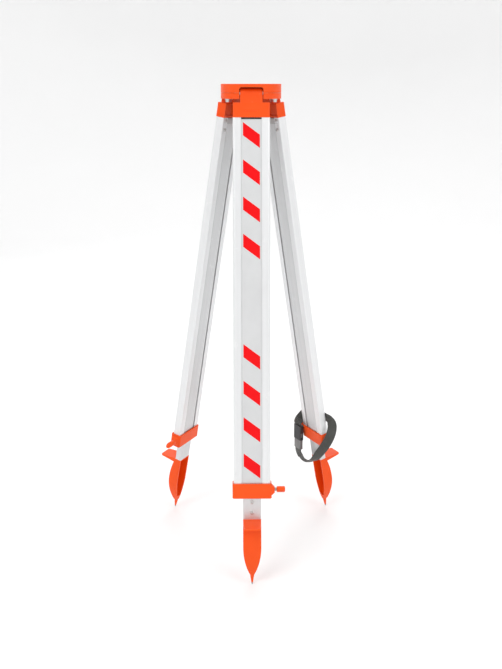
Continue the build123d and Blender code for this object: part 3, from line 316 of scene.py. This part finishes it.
def striped_film(leg):
    """Silver-grey film with slanted red stripes: four above, four below, and plain between."""
    film = Finish(
        f"{leg}_striped_film", Specular_IOR_Level=0.15, Coat_Weight=0.03, Coat_Roughness=0.15
    )
    hinge, axle, inward, up = leg_axes(leg)
    place = film.place()
    across = film.along(place, hinge, axle)
    row = (STRIPE_FIRST - film.along(place, hinge, up)) / STRIPE_STEP + 0.5
    step = row % 1.0
    height = (step - 0.5) * STRIPE_STEP - across * STRIPE_SLOPE
    inside = (abs(height) < STRIPE_HALF_HEIGHT) * (abs(across) < STRIPE_HALF_WIDTH)
    upper = (row > 0.0) * (row < STRIPE_GAP[0] + 0.5)
    lower = (row > STRIPE_GAP[1] + 0.5) * (row < STRIPE_LAST + 0.5)
    stripe = inside * (upper + lower)
    cloud = film.noise(place, 25.0, 6.0)
    streaks = film.noise(film.vector(across * 6.0, 0.0, row * 0.4), 70.0, 6.0, 0.8)
    scratch = (streaks - 0.66).smooth(0.0, 0.05)
    ground = film.mix(cloud, grey(0.57, -0.008), grey(0.65, -0.005))
    red = film.mix(cloud, (0.76, 0.001, 0.003, 1.0), (0.86, 0.002, 0.005, 1.0))
    film.set(
        Base_Color=film.mix(scratch * 0.2, film.mix(stripe, ground, red), grey(0.8)),
        Roughness=0.3 + 0.12 * cloud + 0.15 * scratch,
    )
    film.bump(stripe * 0.6 - scratch * 0.4, 0.00004, 0.6)
    return film.material


def zinc_steel():
    """Zinc-plated steel, slightly cloudy, with rubbed edges."""
    steel = Finish("zinc_steel", Metallic=1.0)
    place = steel.place()
    cloud = steel.noise(place, 220.0, 5.0)
    grain = steel.noise(place, 1800.0, 2.0)
    edge = steel.edges(0.0004)
    body = steel.mix(cloud, grey(0.5, 0.02), grey(0.66, 0.01))
    steel.set(
        Base_Color=steel.mix(edge, body, grey(0.85)),
        Roughness=0.24 + 0.2 * cloud - 0.08 * edge,
    )
    steel.bump(grain, 0.00002, 0.4)
    return steel.material


def hardened_tip():
    """Dark ground steel, bright where the ground has polished it."""
    steel = Finish("hardened_tip", Metallic=1.0)
    place = steel.place()
    cloud = steel.noise(place, 300.0, 6.0)
    steel.set(Base_Color=steel.mix(cloud, grey(0.16), grey(0.42)), Roughness=0.28 + 0.3 * cloud)
    steel.bump(cloud, 0.00005, 0.5)
    return steel.material


def turned_brass():
    """Turned brass with fine rings and a little tarnish."""
    brass = Finish("turned_brass", Metallic=1.0)
    place = brass.place()
    height = brass.parts(place)[2]
    rings = brass.noise(brass.vector(height, 0.0, 0.0), 2600.0, 3.0)
    cloud = brass.noise(place, 160.0, 5.0)
    brass.set(
        Base_Color=brass.mix(cloud, (0.5, 0.33, 0.1, 1.0), (0.78, 0.56, 0.24, 1.0)),
        Roughness=0.2 + 0.16 * cloud + 0.1 * rings,
    )
    brass.bump(rings, 0.00002, 0.5)
    return brass.material


def moulded_plastic(name, dark, light, roughness=0.5, grain_scale=1600.0):
    """Spark-textured moulded plastic, from a dark to a light colour, paler on rubbed edges."""
    plastic = Finish(name, Specular_IOR_Level=0.45)
    place = plastic.place()
    grain = plastic.noise(place, grain_scale, 3.0)
    cloud = plastic.noise(place, 70.0, 4.0)
    edge = plastic.edges(0.0006)
    body = plastic.mix(cloud, dark + (1.0,), light + (1.0,))
    rubbed = tuple(min(1.0, 1.5 * part + 0.02) for part in light) + (1.0,)
    plastic.set(
        Base_Color=plastic.mix(edge * 0.6, body, rubbed),
        Roughness=roughness + 0.14 * grain - 0.08 * edge,
    )
    plastic.bump(grain, 0.00005, 0.7)
    return plastic.material


THREADS_ACROSS = 24.0
THREAD_PITCH = 0.0011


def dark_webbing():
    """Charcoal polyester webbing: ribs across the band over a diagonal weave, with bound edges."""
    cloth = Finish("dark_webbing", Sheen_Weight=0.35, Sheen_Roughness=0.4, Specular_IOR_Level=0.25)
    across, along = cloth.parts(cloth.band_place())[:2]
    warp = across * THREADS_ACROSS
    weft = along / THREAD_PITCH
    diagonal = abs((warp + weft * 0.5) % 1.0 - 0.5) * 2.0
    rib = abs((weft + warp * 0.5) % 1.0 - 0.5) * 2.0
    edge = abs(across - 0.5).smooth(0.44, 0.475)
    weave = (diagonal * 0.6 + rib * 0.6) * (1.0 - edge * 0.6)
    fluff = cloth.noise(cloth.place(), 700.0, 6.0, 0.7)
    fade = cloth.noise(cloth.place(), 30.0, 3.0)
    thread = cloth.mix(weave, (0.022, 0.023, 0.024, 1.0), (0.085, 0.086, 0.08, 1.0))
    cloth.set(
        Base_Color=cloth.mix(fluff * 0.35 + fade * 0.2, thread, (0.11, 0.11, 0.1, 1.0)),
        Roughness=0.72 + 0.2 * fluff,
    )
    cloth.bump(weave * 0.8 + fluff * 0.2, 0.00025, 0.9)
    return cloth.material


orange = orange_powder_coat("orange_powder_coat")
orange_grip = orange_powder_coat("orange_grip", 0.42)
zinc = zinc_steel()
tip_steel = hardened_tip()
brass = turned_brass()
black_plastic = moulded_plastic("black_plastic", (0.018, 0.018, 0.02), (0.04, 0.04, 0.042), 0.38)
grey_plastic = moulded_plastic("grey_plastic", (0.44, 0.45, 0.45), (0.56, 0.57, 0.57))
# grey for the buckle's plug: the lit face of black plastic, as a painted highlight
buckle_painted_highlight_grey = moulded_plastic("buckle_painted_highlight_grey", (0.15, 0.15, 0.15), (0.22, 0.22, 0.215), 0.4)
webbing = dark_webbing()
thread_grey = moulded_plastic(
    "stitching_thread", (0.1, 0.1, 0.1), (0.2, 0.2, 0.19), roughness=0.7, grain_scale=3000.0
)


# ---- mesh helpers -------------------------------------------------------------------------------
def angles(steps):
    """Equal steps once round a circle, in radians."""
    return [2 * pi * step / steps for step in range(steps)]


def join(mesh, lower, upper):
    """Adds the faces between two rings that have as many points as each other."""
    count = len(lower)
    made = []
    for k in range(count):
        following = (k + 1) % count
        made.append(mesh.faces.new((lower[k], lower[following], upper[following], upper[k])))
    return made


def skin(mesh, rings):
    """Adds a closed skin over a row of rings."""
    for lower, upper in zip(rings, rings[1:]):
        join(mesh, lower, upper)
    mesh.faces.new(rings[-1])
    mesh.faces.new(reversed(rings[0]))


def shaped(name, mesh, material, matrix=Matrix.Identity(4), smooth=30.0):
    """Makes an object from bmesh, in place, smooth except where it turns by more than an angle."""
    bmesh.ops.recalc_face_normals(mesh, faces=mesh.faces)
    data = bpy.data.meshes.new(name)
    mesh.to_mesh(data)
    mesh.free()
    data.transform(matrix)
    data.materials.append(material)
    for face in data.polygons:
        face.use_smooth = True
    data.set_sharp_from_angle(angle=radians(smooth))
    made = bpy.data.objects.new(name, data)
    bpy.context.scene.collection.objects.link(made)
    return made


def piece(name, mesh, body, material, matrix=Matrix.Identity(4), smooth=30.0):
    """Makes an object that rides on a body."""
    made = shaped(name, mesh, material, matrix, smooth)
    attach(made, body)
    return made


def paint(material, *names):
    """Gives CAD nodes a finish."""
    for name in names:
        data = nodes[name].data
        data.materials.clear()
        data.materials.append(material)


def soften(name, width):
    """Rounds the hard edges of a CAD node by a small width."""
    bevel = nodes[name].modifiers.new("soft_edges", "BEVEL")
    bevel.width = width
    bevel.segments = 2
    bevel.limit_method = "ANGLE"
    bevel.angle_limit = radians(35.0)
    bevel.harden_normals = True
    bevel.use_clamp_overlap = True


# ---- fasteners ----------------------------------------------------------------------------------
BRACKET_SCREW_RADIUS = 0.0038
BRACKET_SCREW_RISE = 0.002
FOOT_SCREW_RADIUS = 0.0043
FOOT_SCREW_RISE = 0.0019
HEAD_STEPS = 48
# share of the head's radius and share of its rise, from the rim to the edge of the crown
HEAD_PROFILE = ((1.0, 0.0), (1.0, 0.35), (0.94, 0.7), (0.78, 0.93), (0.6, 1.0))
# share of the head's rise and share of the cross's size, from the mouth of the recess to its floor
RECESS_PROFILE = ((1.0, 1.0), (0.35, 0.6))
RECESS_REACH = 0.62
RECESS_SLOT = 0.15


def pan_head(mesh, centre, radius, rise, turn, side):
    """Adds a pan-head screw with a cross recess, standing out from centre along side * Y."""
    slot = radius * RECESS_SLOT
    round_once = angles(HEAD_STEPS)

    def ring(reaches, share):
        return [
            mesh.verts.new(
                (
                    centre[0] + reach * cos(around + turn),
                    centre[1] + side * rise * share,
                    centre[2] + reach * sin(around + turn),
                )
            )
            for around, reach in zip(round_once, reaches)
        ]

    def cross(around):
        """How far the recess reaches at an angle: four arms with square ends."""
        quarter = (around + pi / 4) % (pi / 2) - pi / 4
        end = radius * RECESS_REACH / max(cos(quarter), 1e-6)
        flank = slot / max(abs(sin(quarter)), 1e-6)
        return max(min(end, flank), slot * 1.45)

    rings = [ring([radius * reach] * HEAD_STEPS, share) for reach, share in HEAD_PROFILE]
    for share, size in RECESS_PROFILE:
        rings.append(ring([cross(around) * size for around in round_once], share))
    skin(mesh, rings)


def screw_heads(leg):
    """The bracket's and the foot's pan-head screws on one leg."""
    heads = bmesh.new()
    for side in (-1, 1):
        for number, drop in enumerate(SCREW_DROPS):
            centre = (side * SCREW_OFFSET, PROFILE_INNER, BRACKET_BOTTOM - drop)
            turn = 0.5 + 1.3 * number + side
            pan_head(heads, centre, BRACKET_SCREW_RADIUS, BRACKET_SCREW_RISE, turn, 1)
    made = piece(f"{leg}_bracket_screw_heads", heads, f"{leg}_upper", zinc, leg_matrix(leg))
    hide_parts(f"{leg}_bracket_screws")
    heads = bmesh.new()
    for number, drop in enumerate(FOOT_SCREW_DROPS):
        centre = (0.0, TUBE_OUTER, COLLAR_BOTTOM - drop)
        pan_head(heads, centre, FOOT_SCREW_RADIUS, FOOT_SCREW_RISE, 0.4 + 0.9 * number, -1)
    made = piece(f"{leg}_foot_screw_heads", heads, f"{leg}_lower", zinc, leg_matrix(leg))
    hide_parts(f"{leg}_foot_screws")


# one pitch of a thread: how far along it, and how much of the full depth stands there
THREAD_SHAPE = ((0.0, 1.0), (0.18, 1.0), (0.5, 0.0), (0.62, 0.0), (1.0, 1.0))
THREAD_LEVELS = 14
RUN_OUT = 0.9


def thread(mesh, radius, depth, pitch, low, high, steps=40):
    """Adds a threaded rod along Z between two heights, with run-outs at both ends."""

    def reach(height, around):
        """The rod's radius at a height and an angle."""
        phase = ((height - low) / pitch - around / (2 * pi)) % 1.0
        for (first, start), (second, end) in zip(THREAD_SHAPE, THREAD_SHAPE[1:]):
            if phase <= second:
                ridge = start + (end - start) * (phase - first) / (second - first)
                break
        fade = min(1.0, min(high - height, height - low) / (RUN_OUT * pitch))
        return radius - depth + depth * ridge * max(0.0, fade)

    levels = max(8, int((high - low) / pitch * THREAD_LEVELS))
    rings = []
    for level in range(levels + 1):
        height = low + (high - low) * level / levels
        rings.append(circle(mesh, [reach(height, around) for around in angles(steps)], height))
    skin(mesh, rings)


def circle(mesh, radii, height):
    """Adds a ring of points about Z at a height, one for each radius."""
    return [
        mesh.verts.new((radius * cos(around), radius * sin(around), height))
        for around, radius in zip(angles(len(radii)), radii)
    ]


def rod(mesh, radius, low, high, steps=48):
    """Adds a plain round rod along Z between two heights."""
    skin(mesh, [circle(mesh, [radius] * steps, height) for height in (low, high)])


CLAMP_PIN_RADIUS = 0.003
CLAMP_SCREW_RADIUS = 0.004
CLAMP_THREAD_DEPTH = 0.00065
CLAMP_PITCH = 0.00125
PIN_DEPTH = 0.002
PIN_LAP = 0.0006
PAD_GAP = 0.0001
GRIP_DEPTH = 0.006


def clamp_rod(leg):
    """The clamp screw: a pin in the pad and an M8 thread out to the grip."""
    screw = bmesh.new()
    start = PAD_OUTER + PAD_GAP
    rod(screw, CLAMP_PIN_RADIUS, start - PIN_DEPTH, start + PIN_LAP, 32)
    end = WING_START + GRIP_DEPTH
    thread(screw, CLAMP_SCREW_RADIUS, CLAMP_THREAD_DEPTH, CLAMP_PITCH, start, end)
    middle = Matrix.Translation((0.0, TUBE_MIDDLE, COLLAR_MIDDLE))
    lying = leg_matrix(leg) @ middle @ Matrix.Rotation(pi / 2, 4, "Y")
    made = piece(f"{leg}_clamp_thread", screw, f"{leg}_clamp", zinc, lying, 50.0)
    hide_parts(f"{leg}_clamp_screw")


def box(mesh, low, high, edge):
    """Adds a box between two corners, with rounded edges."""
    corners = bmesh.ops.create_cube(mesh, size=1.0)["verts"]
    for vert in corners:
        vert.co = Vector([a + (b - a) * (c + 0.5) for a, b, c in zip(low, high, vert.co)])
    edges = {line for vert in corners for line in vert.link_edges}
    bmesh.ops.bevel(
        mesh, geom=list(edges), offset=edge, segments=3, profile=0.5, affect="EDGES"
    )


# sizes of the black strip under each bracket's lip, a dark sheet put there as painted shadow
PAINTED_SHADOW_THICKNESS = 0.0009
PAINTED_SHADOW_TOP_GAP = 0.0002
PAINTED_SHADOW_BOTTOM = 0.0036
PAINTED_SHADOW_SIDE_GAP = 0.0007
PAINTED_SHADOW_LIFT = 0.00002
PAINTED_SHADOW_EDGE = 0.0003


def bracket_painted_shadow(leg):
    """A black strip between the bracket's lip and the film, in the recess of the web: a dark sheet
    as painted shadow for the gap under the lip.
    """
    strip = bmesh.new()
    half = CHANNEL_HALF - PAINTED_SHADOW_SIDE_GAP
    low = (-half, WEB_OUTER - PAINTED_SHADOW_THICKNESS, BRACKET_BOTTOM - PAINTED_SHADOW_BOTTOM)
    high = (half, WEB_OUTER - PAINTED_SHADOW_LIFT, BRACKET_BOTTOM - PAINTED_SHADOW_TOP_GAP)
    box(strip, low, high, PAINTED_SHADOW_EDGE)
    made = piece(f"{leg}_bracket_painted_shadow", strip, f"{leg}_upper", black_plastic, leg_matrix(leg))


for leg in LEGS:
    screw_heads(leg)
    clamp_rod(leg)
    bracket_painted_shadow(leg)


# ---- centre screw and its spring ----------------------------------------------------------------
SCREW_THREAD_DEPTH = 0.00125
SCREW_PITCH = 0.0254 / 11
NECK_BOTTOM = -0.049
NECK_LAP = 0.0004


def centre_screw():
    """The 5/8 inch screw with eleven threads an inch, on a neck that goes down into the knob."""
    screw = bmesh.new()
    rod(screw, NECK_RADIUS, NECK_BOTTOM, THREAD_BOTTOM + NECK_LAP)
    thread(
        screw, THREAD_RADIUS, SCREW_THREAD_DEPTH, SCREW_PITCH, THREAD_BOTTOM, THREAD_TOP, 64
    )
    made = piece("centre_screw_thread", screw, "centre_screw", brass, smooth=50.0)
    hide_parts("centre_screw")


WIRE_RADIUS = 0.0006
COIL_RADIUS = 0.0084
COIL_TURNS = 3.5
COIL_STEPS = 180
COIL_GAP = 0.0003
# share of the wire's length that lies flat at each end, as a closed end
COIL_FLAT = 0.08


def spring():
    """The coil spring that holds the screw down: closed ends and three and a half turns."""
    low, high = WASHER_TOP + WIRE_RADIUS + COIL_GAP, CARRIAGE_BOTTOM - WIRE_RADIUS
    upward = Vector((0.0, 0.0, 1.0))
    coil = bmesh.new()
    rings = []
    for step in range(COIL_STEPS + 1):
        share = step / COIL_STEPS
        turn = 2 * pi * COIL_TURNS * share
        climb = min(1.0, max(0.0, share * (1 + 2 * COIL_FLAT) - COIL_FLAT))
        out = Vector((cos(turn), sin(turn), 0.0))
        middle = out * COIL_RADIUS + upward * (low + (high - low) * climb)
        rings.append(
            [
                coil.verts.new(middle + WIRE_RADIUS * (out * cos(around) + upward * sin(around)))
                for around in angles(12)
            ]
        )
    skin(coil, rings)
    made = piece("lift_spring", coil, "screw_carriage", zinc, smooth=60.0)
    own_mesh(made)
    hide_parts("screw_spring")


centre_screw()
spring()


# ---- closing strap ------------------------------------------------------------------------------
STRAP_WIDTH = 0.022
STRAP_THICKNESS = 0.0016
STRAP_STEPS = 12
# the band's centre line in the right leg's frame and the direction of its width, in millimetres
STRAP_ROUTE = [
    ((43.5, 29.9, -868.5), (1.0, 0.0, 0.0)),
    ((43.5, 30.4, -871.5), (1.0, 0.0, 0.0)),
    ((43.5, 30.9, -874.5), (1.0, 0.0, 0.0)),
    ((42.8, 31.7, -881.5), (0.97, 0.0, -0.25)),
    ((37.5, 31.8, -889.5), (0.8, 0.0, -0.6)),
    ((26.5, 31.5, -894.0), (0.25, -0.1, -0.95)),
    ((12.0, 30.7, -893.5), (0.0, -0.6, -0.8)),
    ((-4.0, 29.5, -889.0), (0.0, -0.9, -0.43)),
    ((-18.0, 26.1, -880.2), (-0.1, -0.86, -0.5)),
    ((-32.5, 20.2, -861.2), (-0.4, -0.7, -0.6)),
    ((-46.0, 11.4, -840.5), (-0.6, -0.65, -0.45)),
    ((-53.8, -0.1, -820.5), (-0.6, -0.75, -0.15)),
    ((-56.0, -8.4, -803.5), (-0.5, -0.8, 0.2)),
    ((-53.8, -13.5, -788.0), (-0.35, -0.65, 0.65)),
    ((-47.0, -13.6, -778.0), (-0.1, -0.25, 0.95)),
    ((-37.0, -11.4, -774.0), (0.0, 0.0, 1.0)),
    ((-22.0, -11.4, -773.0), (0.0, 0.0, 1.0)),
    ((10.0, -11.4, -773.0), (0.0, 0.0, 1.0)),
    ((30.0, -11.4, -774.5), (0.0, 0.0, 1.0)),
    ((40.0, -11.2, -779.0), (0.1, 0.1, 0.97)),
    ((44.0, -4.0, -785.0), (0.1, 0.25, 0.95)),
    ((45.5, 5.0, -791.5), (0.15, 0.35, 0.92)),
    ((46.5, 14.0, -799.5), (0.4, 0.4, 0.82)),
    ((45.0, 19.4, -806.8), (0.85, 0.2, 0.4)),
    ((43.5, 20.4, -812.9), (1.0, 0.0, 0.0)),
    ((43.5, 20.9, -815.9), (1.0, 0.0, 0.0)),
]
TAIL_LENGTH = 0.019
TAIL_START = 0.0045
TAIL_END = 0.0035
STITCH_LENGTH = 0.0021
STITCH_RADIUS = 0.00028
# along a stitch: share of its length, rise off the band and size, both in thread radii
STITCH_SHAPE = (
    (0.0, -0.4, 0.5),
    (0.2, 0.5, 1.0),
    (0.5, 0.8, 1.0),
    (0.8, 0.5, 1.0),
    (1.0, -0.4, 0.5),
)


def between(rows, index, share):
    """A point of the smooth curve that passes through the rows' points."""
    last = len(rows) - 1
    before, first = rows[max(index - 1, 0)], rows[index]
    second, after = rows[min(index + 1, last)], rows[min(index + 2, last)]
    return 0.5 * (
        2 * first
        + (second - before) * share
        + (2 * before - 5 * first + 4 * second - after) * share**2
        + (3 * first - before - 3 * second + after) * share**3
    )


def strap_line():
    """Along the band: its centre, width direction, face direction and length so far."""
    centres = [Vector(place) / 1000.0 for place, width in STRAP_ROUTE]
    widths = [Vector(width) for place, width in STRAP_ROUTE]
    line = []
    for index in range(len(centres) - 1):
        for step in range(STRAP_STEPS):
            share = step / STRAP_STEPS
            line.append((between(centres, index, share), between(widths, index, share)))
    line.append((centres[-1], widths[-1]))
    rows = []
    length = 0.0
    for index, (centre, width) in enumerate(line):
        ahead = line[min(index + 1, len(line) - 1)][0] - line[max(index - 1, 0)][0]
        ahead.normalize()
        across = (width - ahead * width.dot(ahead)).normalized()
        if index:
            length += (centre - line[index - 1][0]).length
        rows.append((centre, across, ahead.cross(across), length))
    return rows


def band_section():
    """The band's cross-section: flat faces and thicker bound edges, with its place across."""
    half, thick = STRAP_WIDTH / 2, STRAP_THICKNESS / 2
    upper = [(-1.0, 0.3), (-0.97, 0.85), (-0.92, 1.0), (-0.86, 0.82), (-0.5, 0.78), (0.0, 0.78)]
    upper += [(-share, rise) for share, rise in reversed(upper[:-1])]
    lower = [(share, -rise) for share, rise in reversed(upper)]
    return [(share * half, rise * thick, (share + 1) / 2) for share, rise in upper + lower]


def band(mesh, layer, rows, lift=0.0):
    """Adds a length of band along rows, lifted off their line, with its map of the weave."""
    section = band_section()
    count = len(section)
    rings = [
        [mesh.verts.new(centre + across * x + facing * (y + lift)) for x, y, place in section]
        for centre, across, facing, length in rows
    ]
    for index, (lower, upper) in enumerate(zip(rings, rings[1:])):
        for k, face in enumerate(join(mesh, lower, upper)):
            following = (k + 1) % count
            corners = ((k, index), (following, index), (following, index + 1), (k, index + 1))
            for loop, (side, row) in zip(face.loops, corners):
                loop[layer].uv = (section[side][2], rows[row][3])
    for ring, row in ((rings[0], rows[0]), (rings[-1], rows[-1])):
        face = mesh.faces.new(ring)
        for loop, (x, y, place) in zip(face.loops, section):
            loop[layer].uv = (place, row[3])


def stitch(mesh, first, second, facing):
    """Adds one stitch: a short arched thread between two points."""
    side = (second - first).normalized().cross(facing)
    rings = []
    for share, rise, size in STITCH_SHAPE:
        middle = first + (second - first) * share + facing * rise * STITCH_RADIUS
        radius = STITCH_RADIUS * size
        rings.append(
            [
                mesh.verts.new(middle + radius * (side * cos(around) + facing * sin(around)))
                for around in angles(6)
            ]
        )
    skin(mesh, rings)


# the walk of the sewing on a tail, a box with a cross in it: share of the tail's length and place
# across it, from -1 to 1
SEWING = (
    (0.1, -0.72),
    (0.9, -0.72),
    (0.9, 0.72),
    (0.1, 0.72),
    (0.1, -0.72),
    (0.9, 0.72),
    (0.9, -0.72),
    (0.1, 0.72),
)


def sew(mesh, tail, lift):
    """Adds the rows of stitches that hold a folded tail, on its face away from the band."""
    top = lift - STRAP_THICKNESS / 2 * 0.8
    last = len(tail) - 1

    def spot(start, end, share):
        """A point on the tail's face between two corners of the sewing, and the way it faces."""
        along = start[0] + (end[0] - start[0]) * share
        place = start[1] + (end[1] - start[1]) * share
        centre, across, facing, length = tail[min(last, int(along * last + 0.5))]
        return centre + across * (place * STRAP_WIDTH / 2) + facing * top, -facing

    for start, end in zip(SEWING, SEWING[1:]):
        reach = (spot(start, end, 1.0)[0] - spot(start, end, 0.0)[0]).length
        number = max(1, int(reach / STITCH_LENGTH))
        for k in range(number):
            first, facing = spot(start, end, (k + 0.1) / number)
            second, facing = spot(start, end, (k + 0.9) / number)
            if (second - first).length > STITCH_RADIUS:
                stitch(mesh, first, second, facing)


def strap():
    """The closing strap: the band, its two folded and stitched tails, and their stitches."""
    rows = strap_line()
    length = rows[-1][3]
    cloth = bmesh.new()
    layer = cloth.loops.layers.uv.new("band")
    band(cloth, layer, rows)
    stitches = bmesh.new()
    for low in (TAIL_START, length - TAIL_END - TAIL_LENGTH):
        tail = [row for row in rows if low <= row[3] <= low + TAIL_LENGTH]
        band(cloth, layer, tail, -STRAP_THICKNESS)
        sew(stitches, tail, -STRAP_THICKNESS)
    placed = leg_matrix("right")
    start, end = placed @ rows[-1][0], placed @ rows[0][0]
    made = shaped("closing_strap", cloth, webbing, placed, 50.0)
    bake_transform(made)
    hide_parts("right_strap_band")
    made = shaped("strap_stitches", stitches, thread_grey, placed, 50.0)
    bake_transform(made)


strap()

# ---- finishes on the CAD nodes ------------------------------------------------------------------
CAST_EDGE = 0.0006
FOOT_EDGE = 0.0005

for leg in LEGS:
    paint(orange, f"{leg}_hinge_cap", f"{leg}_leg_bracket", f"{leg}_collar", f"{leg}_foot")
    paint(orange_grip, f"{leg}_clamp_wing")
    paint(drawn_aluminium(leg, "profile_aluminium", 0.72, 0.86), f"{leg}_upper_profile")
    paint(drawn_aluminium(leg, "tube_aluminium", 0.6, 0.74), f"{leg}_lower_tube")
    paint(striped_film(leg), f"{leg}_stripe_label")
    paint(zinc, f"{leg}_hinge_axle", f"{leg}_clamp_screw")
    paint(grey_plastic, f"{leg}_clamp_pad", f"{leg}_guide_block")
    paint(tip_steel, f"{leg}_spike_tip")
    soften(f"{leg}_leg_bracket", CAST_EDGE)
    soften(f"{leg}_collar", FOOT_EDGE)
    soften(f"{leg}_foot", FOOT_EDGE)
paint(orange, "head_plate")
soften("head_plate", CAST_EDGE)
paint(zinc, "hinge_bolts", "arm_pivot", "thrust_washer", "plumb_hook", "right_strap_rivet")
paint(zinc, "swing_arm", "screw_spring")
paint(brass, "screw_carriage", "centre_screw")
paint(black_plastic, "screw_knob", "right_buckle_socket")
# the plug is black plastic like the socket, painted grey as a painted highlight
paint(buckle_painted_highlight_grey, "right_buckle_plug")


# ---- studio -------------------------------------------------------------------------------------
FLOOR_RADIUS = 3.6
BEND_RADIUS = 1.6
BEND_STEPS = 12
WALL_HEIGHT = 6.0
AIR_STRENGTH = 0.7
LAMP_AIM = Vector((0.0, 0.0, -0.5))
# name, place, side in metres and power in watts
LAMPS = (
    ("key_lamp", (-2.2, -2.4, 2.4), 2.4, 52.0),
    ("fill_lamp", (2.6, -2.0, 1.6), 2.4, 32.0),
    ("back_lamp", (0.5, 3.0, 2.4), 3.0, 46.0),
    ("top_lamp", (0.0, 0.0, 3.4), 3.0, 30.0),
)


def paper_floor():
    """A pale floor that rises into a round wall."""
    outline = [(FLOOR_RADIUS, 0.0)]
    for step in range(1, BEND_STEPS + 1):
        around = pi / 2 * step / BEND_STEPS
        outline.append((FLOOR_RADIUS + BEND_RADIUS * sin(around), BEND_RADIUS * (1 - cos(around))))
    outline.append((FLOOR_RADIUS + BEND_RADIUS, WALL_HEIGHT))
    mesh = bmesh.new()
    rings = [circle(mesh, [radius] * 96, GROUND + height) for radius, height in outline]
    centre = mesh.verts.new((0, 0, GROUND))
    for first, second in zip(rings[0], rings[0][1:] + rings[0][:1]):
        mesh.faces.new((centre, first, second))
    for lower, upper in zip(rings, rings[1:]):
        join(mesh, lower, upper)
    paper = Finish("studio_paper", Roughness=0.9, Specular_IOR_Level=0.1)
    paper.set(Base_Color=paper.mix(paper.noise(paper.place(), 2.0), grey(0.9), grey(0.92)))
    shaped("studio_floor", mesh, paper.material, smooth=180.0)


def studio_light():
    """White air all round, and four soft square lamps that point at the legs."""
    world = bpy.data.worlds.new("studio_air")
    world.use_nodes = True
    air = world.node_tree.nodes["Background"].inputs
    air["Color"].default_value = (1.0, 1.0, 1.0, 1.0)
    air["Strength"].default_value = AIR_STRENGTH
    bpy.context.scene.world = world
    for name, place, size, power in LAMPS:
        data = bpy.data.lights.new(name, "AREA")
        data.size = size
        data.energy = power
        lamp = bpy.data.objects.new(name, data)
        bpy.context.scene.collection.objects.link(lamp)
        lamp.location = place
        lamp.rotation_mode = "QUATERNION"
        lamp.rotation_quaternion = (LAMP_AIM - Vector(place)).to_track_quat("-Z", "Y")


paper_floor()
studio_light()
bpy.context.scene.view_settings.view_transform = "Standard"
